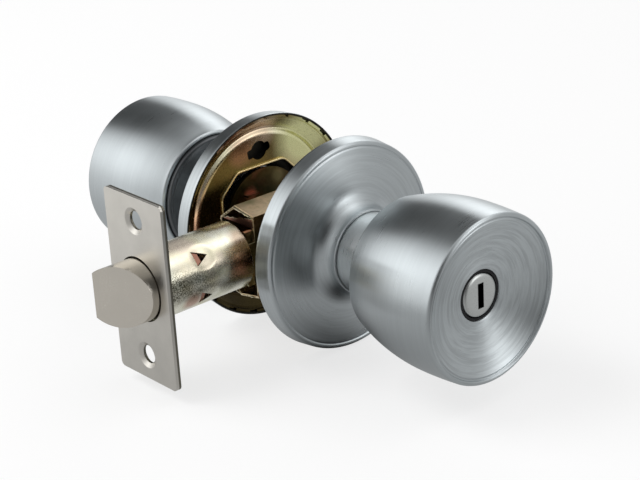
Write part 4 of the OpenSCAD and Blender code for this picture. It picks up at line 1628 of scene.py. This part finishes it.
@dataclass
class MountingPlate:
    """The plated sheet behind a rose: disc, channel, cone and lip, with a folded opening.

    Heights are from the door. The profile goes from the opening outwards, each corner with its
    fillet, and the opening has its width, its height and the length of its cut corners.
    """

    side: Side
    profile: tuple[Corner, ...] = (
        (12.2, 3.1, 0), (25.7, 3.1, 1.7), (26.9, 3.85, 0.35), (27.6, 3.85, 0.4),
        (30.3, 1.35, 0.3), (30.75, 1.3, 0.1), (30.95, 0.85, 0.15), (31.4, 0.8, 0))
    wall: float = 0.6
    segments: int = 160
    crease: float = 30
    opening: tuple[float, float, float] = (31.0, 30.8, 6.5)
    opening_fillet: float = 1.6
    fold_wall: float = 0.7
    fold_low: float = 2.4
    fold_high: float = 3.75
    fold_fillet: float = 0.33
    hole_height: float = 20.6
    hole_radius: float = 3.0
    slot_length: float = 9.0
    slot_width: float = 2.9
    slot_fillet: float = 1.4
    slot_tilt: float = 10.0
    cut_reach: float = 8.0
    cut_inset: float = 0.1
    crimps: int = 22
    crimp_size: tuple[float, float, float] = (6.2, 0.9, 0.8)
    crimp_cut: float = 0.15
    crimp_fillet: float = 0.1
    crimp_radius: float = 31.3
    crimp_height: float = 0.55

    def flipped(self, path: Path) -> Path:
        """A path in X and Z, turned into the lathe frame."""
        return [(x, -self.side.away * z) for x, z in path]

    def mouth(self) -> Path:
        """Middle line of the fold round the opening.

        Returns:
            The closed line in the lathe frame.
        """
        width, height, corner = self.opening
        edge = octagon(width + self.fold_wall, height + self.fold_wall, corner)
        return self.flipped(closed_loop(edge, self.opening_fillet))

    def hole_cutters(self) -> list[bpy.types.Object]:
        """Makes the solids that cut the opening and both screw holes.

        Returns:
            The cutters.
        """
        cutters = [prism("mouth", self.mouth(), 0, self.cut_reach)]
        tilt = math.radians(self.slot_tilt)
        x, z = self.slot_length / 2, self.slot_width / 2
        for up in (-1, 1):
            middle = (0.0, up * self.hole_height)
            ends = [(-x, -z), (x, -z), (x, z), (-x, z)]
            slot = [(middle[0] + a * math.cos(tilt) - b * math.sin(tilt),
                     middle[1] + a * math.sin(tilt) + b * math.cos(tilt)) for a, b in ends]
            hole = arc(middle, self.hole_radius, start=0, end=352, steps=44)
            cutters.append(prism("round", self.flipped(hole), 0, self.cut_reach))
            cutters.append(prism("slot", self.flipped(closed_loop(slot, self.slot_fillet)),
                                 self.cut_inset, self.cut_reach - self.cut_inset))
        return cutters

    def fold(self, shop: Workshop) -> bpy.types.Object:
        """Makes the folded edge of the opening, a rounded bar along its outline.

        Args:
            shop: Where it is made.

        Returns:
            The bar in the lathe frame.
        """
        middle = (self.fold_low + self.fold_high) / 2 * MM
        mesh = loop_mesh("fold", [(x * MM, y * MM, middle) for x, y in self.mouth()])
        obj = new_object(self.side.node("plate_fold"), mesh)
        # Painted highlight: the fold gets a bright copy of the plate's zinc.
        shop.sweep.run(obj, Width=self.fold_wall * MM, Depth=(self.fold_high - self.fold_low) * MM,
                       Fillet=self.fold_fillet * MM, Finish=shop.finishes.fold_highlight)
        return obj

    def crimp_ring(self, shop: Workshop) -> bpy.types.Object:
        """Makes the small tabs of the lip, pressed against the rose.

        Args:
            shop: Where they are made.

        Returns:
            All tabs as one piece in the lathe frame.
        """
        length, depth, height = self.crimp_size
        outline = closed_loop(octagon(length, depth, self.crimp_cut), self.crimp_fillet)
        obj = prism(self.side.node("plate_crimps"), outline, -height / 2, height / 2)
        obj.data.transform(Matrix.Rotation(math.pi / 2, 4, "Y"))
        shop.rings.run(obj, Count=self.crimps, Radius=self.crimp_radius * MM,
                       Finish=shop.finishes.zinc_plate)
        obj.data.transform(Matrix.Translation((0, 0, self.crimp_height * MM)))
        return obj

    def build(self, shop: Workshop) -> None:
        """Makes the plate, its fold and its crimps.

        Args:
            shop: Where they are made.
        """
        node = self.side.node("mounting_plate")
        outline = sheet(filleted(self.profile, steps=4), self.wall)
        plate = shop.turned(f"{node}_drawn", outline, Matrix.Identity(4),
                            shop.finishes.zinc_plate, self.segments)
        cut_away(plate, self.hole_cutters())
        smooth(plate.data, self.crease)
        pieces = [(plate, [node]), (self.fold(shop), []), (self.crimp_ring(shop), [])]
        for obj, nodes in pieces:
            obj.data.transform(self.side.place())
            outward(obj.data)
            smooth(obj.data, self.crease)
            shop.hand_over(obj, node, nodes)


@dataclass
class Latch:
    """Faceplate, bolt, tube and case of the latch.

    The burr and the web stand at the open front of the case, where burr_x is, and burr_shares are
    shares of the case's wall. A lance has its length and width, and its tilts are angles round the
    tube in degrees, from the front upwards. The tongue's tip and halves are shares of its lance.
    The front share of the spring is drawn thinner by spring_slip.
    """

    plate_rounding: float = 0.16
    bolt_rounding: float = 0.35
    sheet_rounding: float = 0.14
    burr_x: float = -25.0
    burr_root: float = 0.8
    burr_reach: Point = (0.05, 0.75)
    burr_step: float = 0.45
    burr_swing: float = 0.45
    burr_edge: float = 0.12
    burr_inset: float = 0.06
    burr_shares: Point = (0.5, 0.9)
    burr_start: float = 0.3
    burr_seed: int = 7
    burr_crease: float = 25
    case_corners: tuple[Point, ...] = ((8.0, -9.3), (8.0, 9.3), (0.6, 14.6), (-8.0, 13.1),
                                       (-8.0, -13.1), (0.6, -14.6))
    case_wall: float = 0.8
    web_half: float = 7.1
    web_foot: float = 8.95
    web_top: float = 9.3
    web_rise: float = 2.9
    web_swing: float = 0.28
    web_steps: int = 12
    web_wall: float = 0.5
    web_edge: float = 0.15
    web_edge_span: Point = (-0.12, 0.35)
    web_inset: float = 0.4
    lance_x: float = -44.85
    lance: Point = (4.4, 4.8)
    lance_tilts: Point = (42.0, -30.0)
    tongue_root: float = 0.2
    tongue_tip: float = 0.10
    tongue_halves: Point = (0.47, 0.26)
    tongue_wall: float = 0.35
    tongue_drop: float = 0.12
    tongue_play: float = 0.02
    tube_bore: float = 9.7
    spring_share: float = 0.445
    spring_slip: float = 0.72
    spring_crease: float = 50

    def torn_edge(self, shop: Workshop) -> bpy.types.Object:
        """Makes the ragged burr round the open front of the case.

        Args:
            shop: Where it is made.

        Returns:
            The burr.
        """
        draw = random.Random(self.burr_seed)
        loop: list[Vector] = []
        corners = [Vector(c) for c in self.case_corners]
        for a, b in zip(corners, corners[1:] + corners[:1]):
            steps = max(2, round((b - a).length / self.burr_step))
            loop += [a.lerp(b, i / steps) for i in range(steps)]
        points: list[Place] = []
        root, level = self.burr_x + self.burr_root, self.burr_start
        least, most = self.burr_reach
        half, whole = self.burr_shares
        for here in loop:
            level = min(1, max(0, level + draw.uniform(-self.burr_swing, self.burr_swing)))
            tip = self.burr_x - least - level * (most - least)
            inward = -here.normalized()
            thin = here + inward * self.case_wall * half
            for x, at in ((root, here + inward * self.burr_inset),
                          (tip, thin - inward * self.burr_edge),
                          (tip, thin + inward * self.burr_edge),
                          (root, here + inward * self.case_wall * whole)):
                points.append((x * MM, at.x * MM, at.y * MM))
        n = len(loop)
        faces = [(4 * i + k, 4 * i + (k + 1) % 4, 4 * ((i + 1) % n) + (k + 1) % 4,
                  4 * ((i + 1) % n) + k) for i in range(n) for k in range(4)]
        mesh = mesh_of("case_burr", points, faces)
        mesh.materials.append(shop.finishes.edge)
        outward(mesh)
        smooth(mesh, self.burr_crease)
        return new_object("case_torn_edge", mesh)

    def torn_web(self, shop: Workshop) -> list[bpy.types.Object]:
        """Makes the web that is left across the front of the case, and its bright ragged edge.

        Args:
            shop: Where they are made.

        Returns:
            The web and its edge.
        """
        draw = random.Random(self.burr_seed + 1)
        half, steps = self.web_half, self.web_steps
        top: Path = []
        for i in range(steps + 1):
            t = i / steps
            ragged = draw.uniform(-self.web_swing, self.web_swing) if 0 < i < steps else 0.0
            top.append((half - 2 * half * t, self.web_top + self.web_rise * t + ragged))
        web = prism("case_web", [(half, self.web_foot), *top, (-half, self.web_foot)], 0,
                    self.web_wall)
        low = [(y, z - self.web_edge) for y, z in top]
        edge = prism("case_web_edge", top + low[::-1], *self.web_edge_span)
        turned = Matrix(((0, 0, 1), (1, 0, 0), (0, 1, 0))).to_4x4()
        place = Matrix.Translation((self.burr_x * MM + self.web_inset * MM, 0, 0)) @ turned
        for obj, finish in ((web, shop.finishes.copper), (edge, shop.finishes.edge)):
            obj.data.transform(place)
            outward(obj.data)
            obj.data.materials.append(finish)
        return [web, edge]

    def lance_tongue(self, index: int, tilt: float, shop: Workshop) -> bpy.types.Object:
        """Makes what is left of a lanced tongue, which closes part of its hole.

        Args:
            index: Number of the lance.
            tilt: Its angle round the tube in degrees, from the front upwards.
            shop: Where it is made.

        Returns:
            The tongue.
        """
        length, width = self.lance
        turn = math.radians(tilt)
        out = Vector((0, -math.cos(turn), math.sin(turn)))
        along, across = Vector((1, 0, 0)), Vector((0, math.sin(turn), math.cos(turn)))
        root, tip = -length / 2 - self.tongue_root, -length * self.tongue_tip
        half_root, half_tip = (width * half for half in self.tongue_halves)
        plan = [(root, -half_root), (tip, -half_tip), (tip, half_tip), (root, half_root)]
        middle = Vector((self.lance_x, 0, 0))
        points: list[Vector] = []
        for lift in (0.0, self.tongue_wall):
            for x, y in plan:
                drop = 0.0 if x == root else self.tongue_drop
                surface = math.sqrt(self.tube_bore ** 2 - y * y) + self.tongue_play
                points.append((middle + along * x + across * y
                               + out * (surface + lift - drop)) * MM)
        faces = [(0, 3, 2, 1), (4, 5, 6, 7), (0, 1, 5, 4), (1, 2, 6, 5), (2, 3, 7, 6),
                 (3, 0, 4, 7)]
        mesh = mesh_of("tongue", points, faces)
        mesh.materials.append(shop.finishes.copper)
        outward(mesh)
        return new_object(f"lance_tongue_{index}", mesh)

    def part_spring(self, shop: Workshop) -> None:
        """Parts the bolt spring: the front goes with the bolt and slips into the rear.

        Args:
            shop: Where it is dressed.
        """
        low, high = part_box("bolt_spring")
        middle = low.x + self.spring_share * (high.x - low.x)
        for name, carrier, front in (("bolt_spring_front", "bolt_head", True),
                                     ("bolt_spring_rear", "bolt_spring", False)):
            mesh = bpy.data.meshes.new(name)
            with editing(mesh, frame["nodes"]["bolt_spring"].data) as form:
                bmesh.ops.remove_doubles(form, verts=form.verts, dist=PACKED_MERGE)
                cut = bmesh.ops.bisect_plane(form, geom=[*form.verts, *form.edges, *form.faces],
                                             plane_co=(middle, 0, 0), plane_no=(1, 0, 0),
                                             clear_outer=front, clear_inner=not front)
                rim = [item for item in cut["geom_cut"] if isinstance(item, bmesh.types.BMEdge)]
                bmesh.ops.edgeloop_fill(form, edges=rim)
            if front:
                mesh.transform(Matrix.Diagonal((1, self.spring_slip, self.spring_slip, 1)))
            outward(mesh)
            smooth(mesh, self.spring_crease)
            mesh.materials.append(shop.finishes.spring)
            shop.hand_over(new_object(name, mesh), carrier,
                           [] if front else ["bolt_spring"])

    def build(self, shop: Workshop) -> None:
        """Dresses the latch pieces.

        Args:
            shop: Where they are made.
        """
        looks = [("faceplate", shop.finishes.nickel, self.plate_rounding, Slot.NICKEL),
                 ("backing_plate", shop.finishes.backing, self.plate_rounding, Slot.NICKEL),
                 ("bolt_head", shop.finishes.bolt, self.bolt_rounding, Slot.NICKEL),
                 ("latch_tube", shop.finishes.zinc, self.sheet_rounding, Slot.YELLOW_ZINC),
                 ("rear_case", shop.finishes.zinc_case, self.sheet_rounding, Slot.YELLOW_ZINC)]
        for node, finish, rounding, slot in looks:
            shop.hand_over(shop.refined(node, finish, rounding), node, [node])
        for obj in (self.torn_edge(shop), *self.torn_web(shop)):
            shop.hand_over(obj, "rear_case")
        self.part_spring(shop)
        for index, tilt in enumerate(self.lance_tilts):
            shop.hand_over(self.lance_tongue(index, tilt, shop), "latch_tube")


# Studio


@dataclass(frozen=True)
class SoftLight:
    """A soft patch of light or shade in the surroundings, named by its direction."""

    azimuth: float
    elevation: float
    focus: float
    level: float

    def direction(self) -> Vector:
        """Direction to its middle, with the azimuth turned from +X towards +Y."""
        turn, rise = math.radians(self.azimuth), math.radians(self.elevation)
        flat = math.cos(rise)
        return Vector((flat * math.cos(turn), flat * math.sin(turn), math.sin(rise)))


@dataclass(frozen=True)
class Surroundings:
    """The light room: an even grey with soft boxes and dark screens."""

    even: float = 0.54
    patches: tuple[SoftLight, ...] = (
        SoftLight(-62, 16, 40, 2.25), SoftLight(36, 27, 26, 2.15), SoftLight(135, 24, 8, 1.38),
        SoftLight(-25, 60, 14, 1.20), SoftLight(72, 41, 13, -2.40),
        SoftLight(-122, 23, 12, -0.85), SoftLight(-106, -57, 10.6, -0.58),
        SoftLight(10, -18, 22, 0.80), SoftLight(-89, -2, 60, -0.50))
    darkest: float = 0.02

    def level(self, tree: bpy.types.NodeTree, way: bpy.types.NodeSocket) -> bpy.types.NodeSocket:
        """Adds the nodes that give the brightness in a direction.

        Args:
            tree: Tree of the world or of a material.
            way: Unit vector that points into the room.

        Returns:
            The brightness, where 1 is white.
        """
        def step(operation: str, *values: object) -> bpy.types.NodeSocket:
            """Result of a Math node."""
            return worked(tree, "Math", operation, values).outputs[0]

        total: object = self.even
        for patch in self.patches:
            near = worked(tree, "VectorMath", "DOT_PRODUCT", (way, patch.direction()))
            fall = step("MULTIPLY_ADD", near.outputs["Value"], patch.focus, -patch.focus)
            total = step("MULTIPLY_ADD", step("EXPONENT", fall), patch.level, total)
        return step("MAXIMUM", total, self.darkest)


@dataclass(frozen=True)
class PhotoCamera:
    """The camera at the photo's angle, with angles in degrees and lengths in metres."""

    azimuth: float = -40.06
    elevation: float = 22.67
    roll: float = -3.40
    distance: float = 0.55712
    aim: Place = (0.00286, -0.00455, -0.00392)
    focal_pixels: float = 1820.05
    image_width: int = 640
    sensor_mm: float = 36.0

    def build(self) -> None:
        """Adds the camera and makes it the scene's own."""
        azimuth, elevation, roll = (math.radians(turn) for turn in
                                    (self.azimuth, self.elevation, self.roll))
        back = Vector((math.sin(azimuth) * math.cos(elevation),
                       -math.cos(azimuth) * math.cos(elevation), math.sin(elevation)))
        level = Vector((math.cos(azimuth), math.sin(azimuth), 0))
        upward = back.cross(level)
        right = level * math.cos(roll) + upward * math.sin(roll)
        up = upward * math.cos(roll) - level * math.sin(roll)
        data = bpy.data.cameras.new("camera")
        data.sensor_width = self.sensor_mm
        data.lens = self.focal_pixels * self.sensor_mm / self.image_width
        obj = new_object("camera", data)
        turned = Matrix((right, up, back)).transposed().to_4x4()
        obj.matrix_world = Matrix.Translation(Vector(self.aim) + back * self.distance) @ turned
        bpy.context.scene.camera = obj


@dataclass(frozen=True)
class SoftBox:
    """The lamp that gives the floor its shadow, with lengths in metres."""

    size: Point = (0.7, 0.6)
    power: float = 7
    way: Place = (-0.45, 0.45, 0.9)
    distance: float = 1.2

    def build(self) -> None:
        """Adds the lamp, which shines at the lock and isn't mirrored in it."""
        data = bpy.data.lights.new("soft_box", "AREA")
        data.shape = "RECTANGLE"
        data.size, data.size_y = self.size
        data.energy = self.power
        obj = new_object("soft_box", data)
        way = Vector(self.way).normalized()
        obj.location = way * self.distance
        obj.rotation_euler = way.to_track_quat("Z", "Y").to_euler()
        obj.visible_glossy = False


@dataclass(frozen=True)
class Studio:
    """Floor, world, lamp and camera, with lengths in metres."""

    room: Surroundings = Surroundings()
    floor_half: float = 4.0
    floor_tone: Colour = (0.9, 0.9, 0.9)
    floor_roughness: float = 0.9
    white_share: float = 0.72

    def floor_finish(self) -> bpy.types.Material:
        """Makes the floor pale, white to the camera, and clear from below.

        Returns:
            The material, which mirrors in metal as the room does.
        """
        f = Finish("pale_floor")
        f.set(Base_Color=self.floor_tone, Roughness=self.floor_roughness)
        seen, white, mirrored = f.add("LightPath"), f.add("Emission"), f.add("Emission")
        way = f.vector("NORMALIZE", f.place)
        f.join(self.room.level(f.tree, way), mirrored.inputs["Strength"])
        share = f.math("MULTIPLY", seen.outputs["Is Camera Ray"], self.white_share)
        pale = f.mix_shaders(share, f.shader.outputs[0], white.outputs[0])
        glossy = f.mix_shaders(seen.outputs["Is Glossy Ray"], pale, mirrored.outputs[0])
        below = f.add("NewGeometry").outputs["Backfacing"]
        clear = f.mix_shaders(below, glossy, f.add("BsdfTransparent").outputs[0])
        f.join(clear, f.tree.nodes["Material Output"].inputs[0])
        return f.material

    def floor(self) -> None:
        """Lays the floor under the lock, where it keeps the lock's shadow."""
        half, z = self.floor_half, CAD_BOX[0][2]
        corners = [(-half, -half, z), (half, -half, z), (half, half, z), (-half, half, z)]
        mesh = mesh_of("floor", corners, [(0, 1, 2, 3)])
        obj = new_object("floor", mesh)
        mesh.materials.append(self.floor_finish())

    def world(self) -> None:
        """Puts the room round the lock, white where the camera sees it."""
        world = bpy.data.worlds.new("studio")
        bpy.context.scene.world = world
        world.use_nodes = True
        nodes, links = world.node_tree.nodes, world.node_tree.links
        way = nodes.new("ShaderNodeTexCoord").outputs["Generated"]
        seen = nodes.new("ShaderNodeLightPath")
        pick = nodes.new("ShaderNodeMix")
        pick.inputs["B"].default_value = 1.0
        links.new(seen.outputs["Is Camera Ray"], pick.inputs["Factor"])
        links.new(self.room.level(world.node_tree, way), pick.inputs["A"])
        nodes["Background"].inputs["Color"].default_value = (1, 1, 1, 1)
        links.new(pick.outputs["Result"], nodes["Background"].inputs["Strength"])

    def build(self) -> None:
        """Makes the whole studio."""
        PhotoCamera().build()
        self.floor()
        self.world()
        SoftBox().build()
        bpy.context.scene.view_settings.view_transform = "Standard"


def dress_rest(shop: Workshop) -> None:
    """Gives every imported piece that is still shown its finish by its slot.

    Args:
        shop: Holds the finishes.
    """
    made = shop.finishes
    looks: dict[str, bpy.types.Material] = {
        Slot.STAINLESS.value: made.steel, Slot.NICKEL.value: made.nickel,
        Slot.YELLOW_ZINC.value: made.zinc_case, Slot.DULL_ZINC.value: made.zinc_dull,
        Slot.SPRING_STEEL.value: made.spring, Slot.NYLON.value: made.nylon}
    for part in frame["record"]["subparts"]:
        node = part["node"]
        if not frame["nodes"][node].hide_render:
            # End caps get the near black zinc and other yellow zinc pieces the case's darker zinc,
            # both painted shade.
            deep = node.endswith("end_cap")
            shop.dress(node, made.zinc_deep_shaded if deep else looks[part["material_slot"]])


def main() -> None:
    """Builds the studio and every piece, in order."""
    logging.basicConfig(level=logging.INFO, format="%(message)s")
    Studio().build()
    shop = Workshop(Finishes())
    for side in Side:
        Rose(side).build(shop)
        MountingPlate(side).build(shop)
        Knob(side).build(shop)
    Latch().build(shop)
    dress_rest(shop)


if __name__ == "__main__":
    main()
